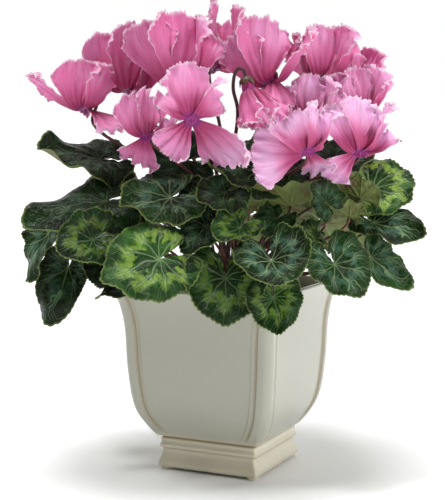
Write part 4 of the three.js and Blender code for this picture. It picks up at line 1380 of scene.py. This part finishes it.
class CYCLAMEN_OT_leaf_stalks(bpy.types.Operator):
    """Grows a stalk from the tuber to each leaf"""

    bl_idname = "cyclamen.leaf_stalks"
    bl_label = "Leaf stalks"

    def execute(self, context):
        build_leaf_stalks(context.scene.cyclamen_sizes)
        return {"FINISHED"}


class CYCLAMEN_OT_flower_stalks(bpy.types.Operator):
    """Grows a hooked stalk with its calyx to each flower"""

    bl_idname = "cyclamen.flower_stalks"
    bl_label = "Flower stalks"

    def execute(self, context):
        build_flower_stalks(context.scene.cyclamen_sizes)
        build_calyces()
        return {"FINISHED"}


class CYCLAMEN_OT_leaves(bpy.types.Operator):
    """Builds the leaf blades, toothed, veined and marbled"""

    bl_idname = "cyclamen.leaves"
    bl_label = "Leaves"

    def execute(self, context):
        build_leaves(context.scene.cyclamen_sizes, context.scene.cyclamen_colours)
        return {"FINISHED"}


class CYCLAMEN_OT_flowers(bpy.types.Operator):
    """Builds the flowers with their frilled petals"""

    bl_idname = "cyclamen.flowers"
    bl_label = "Flowers"

    def execute(self, context):
        build_flowers(context.scene.cyclamen_sizes, context.scene.cyclamen_colours)
        return {"FINISHED"}


class CYCLAMEN_OT_stage(bpy.types.Operator):
    """Sets the pale floor, the soft lights and the camera"""

    bl_idname = "cyclamen.stage"
    bl_label = "Stage"

    def execute(self, context):
        build_stage(context.scene.cyclamen_colours)
        return {"FINISHED"}


# Stage

CAMERA_AZIMUTH = math.radians(25.5)
CAMERA_ELEVATION = math.radians(5.9)
CAMERA_DISTANCE = 1.2
CAMERA_ASIDE = -0.0067
CAMERA_TARGET = Vector((CAMERA_ASIDE * math.cos(CAMERA_AZIMUTH),
                        CAMERA_ASIDE * math.sin(CAMERA_AZIMUTH), 0.2101))
LENS = 89
FILM_HEIGHT = 36

# Soft lights: the way each comes from, how wide it looks in degrees and its strength
LIGHTS = {
    "top_sheet": ((0.0, -0.04, 1.0), 28, 2.3),
    "window_left": ((-0.3, -0.42, 1.0), 9, 0.7),
    "side_right": ((1.0, 0.0, 0.5), 40, 0.98),
}
# A tall soft box at the right front, whose reflection runs down the pot's near corner
SOFT_BOX_PLACE = Vector((1.17, -0.56, 0.3))
SOFT_BOX_TARGET = Vector((0, 0, 0.15))
SOFT_BOX_SIZE = (0.3, 0.9)
SOFT_BOX_POWER = 3.5
FLOOR_SIDE = 60
BACKDROP_LIGHT = 1.0
ROOM_LIGHT = 0.1


def build_stage(colours):
    floor = new_object("floor", bpy.ops.mesh.primitive_plane_add, size=FLOOR_SIDE)
    floor.data.materials.append(
        new_material("white_sweep", Base_Color=tuple(colours.floor), Roughness=0.7))

    for name, (toward, width, strength) in LIGHTS.items():
        lamp = new_object(name, bpy.ops.object.light_add, type="SUN", location=toward)
        lamp.data.angle = math.radians(width)
        lamp.data.energy = strength
        lamp.rotation_euler = Vector(toward).to_track_quat("Z", "Y").to_euler()

    soft_box = new_object("soft_box", bpy.ops.object.light_add, type="AREA",
                          location=SOFT_BOX_PLACE)
    soft_box.data.shape = "RECTANGLE"
    soft_box.data.size, soft_box.data.size_y = SOFT_BOX_SIZE
    soft_box.data.energy = SOFT_BOX_POWER
    toward = SOFT_BOX_PLACE - SOFT_BOX_TARGET
    soft_box.rotation_euler = toward.to_track_quat("Z", "Y").to_euler()

    level = math.cos(CAMERA_ELEVATION)
    back = Vector((math.sin(CAMERA_AZIMUTH) * level, -math.cos(CAMERA_AZIMUTH) * level,
                   math.sin(CAMERA_ELEVATION)))
    camera = new_object("Camera", bpy.ops.object.camera_add,
                        location=CAMERA_TARGET + back * CAMERA_DISTANCE,
                        rotation=back.to_track_quat("Z", "Y").to_euler())
    camera.data.sensor_fit = "VERTICAL"
    camera.data.sensor_height = FILM_HEIGHT
    camera.data.lens = LENS
    bpy.context.scene.camera = camera
    light_room(-back)
    bpy.context.scene.view_settings.view_transform = "Standard"


def light_room(backdrop):
    """A room that is dim in front of the plant and has a bright sweep behind it."""
    room = bpy.data.worlds.new("studio_room")
    room.use_nodes = True
    add = partial(add_node, room)
    toward = add("TexCoord").outputs["Generated"]
    facing = add("VectorMath", (toward, tuple(backdrop)), operation="DOT_PRODUCT")
    behind = add("MapRange", (facing, -0.1, 0.6, ROOM_LIGHT, BACKDROP_LIGHT), **SMOOTH)
    level = add("SeparateXYZ", (toward,)).outputs[2]
    level = add("Math", (level,), operation="ABSOLUTE")
    sweep = add("MapRange", (level, 0.12, 0.03, ROOM_LIGHT, 1.0), **SMOOTH)
    behind = add("Math", (behind, sweep), operation="MAXIMUM")
    background = room.node_tree.nodes["Background"]
    background.inputs["Color"].default_value = (1, 1, 1, 1)
    room.node_tree.links.new(behind.outputs[0], background.inputs["Strength"])
    bpy.context.scene.world = room


# Panel and registration

PIECES = (CYCLAMEN_OT_pot, CYCLAMEN_OT_soil, CYCLAMEN_OT_leaf_stalks, CYCLAMEN_OT_flower_stalks,
          CYCLAMEN_OT_leaves, CYCLAMEN_OT_flowers, CYCLAMEN_OT_stage)


class CYCLAMEN_PT_panel(bpy.types.Panel):
    """Lists the cyclamen's pieces with their sizes and colours"""

    bl_idname = "CYCLAMEN_PT_panel"
    bl_label = "Potted cyclamen"
    bl_space_type = "VIEW_3D"
    bl_region_type = "UI"
    bl_category = "Cyclamen"

    def draw(self, context):
        for piece in PIECES:
            self.layout.operator(piece.bl_idname)
        for group in (context.scene.cyclamen_sizes, context.scene.cyclamen_colours):
            box = self.layout.box()
            for name in group.__annotations__:
                box.prop(group, name)


CLASSES = (CyclamenSizes, CyclamenColours) + PIECES + (CYCLAMEN_PT_panel,)


def register():
    for one in CLASSES:
        bpy.utils.register_class(one)
    bpy.types.Scene.cyclamen_sizes = bpy.props.PointerProperty(type=CyclamenSizes)
    bpy.types.Scene.cyclamen_colours = bpy.props.PointerProperty(type=CyclamenColours)


def unregister():
    del bpy.types.Scene.cyclamen_colours
    del bpy.types.Scene.cyclamen_sizes
    for one in reversed(CLASSES):
        bpy.utils.unregister_class(one)


def main():
    register()
    bpy.ops.cyclamen.pot()
    bpy.ops.cyclamen.soil()
    bpy.ops.cyclamen.leaf_stalks()
    bpy.ops.cyclamen.flower_stalks()
    bpy.ops.cyclamen.leaves()
    bpy.ops.cyclamen.flowers()
    bpy.ops.cyclamen.stage()


if __name__ == "__main__":
    main()
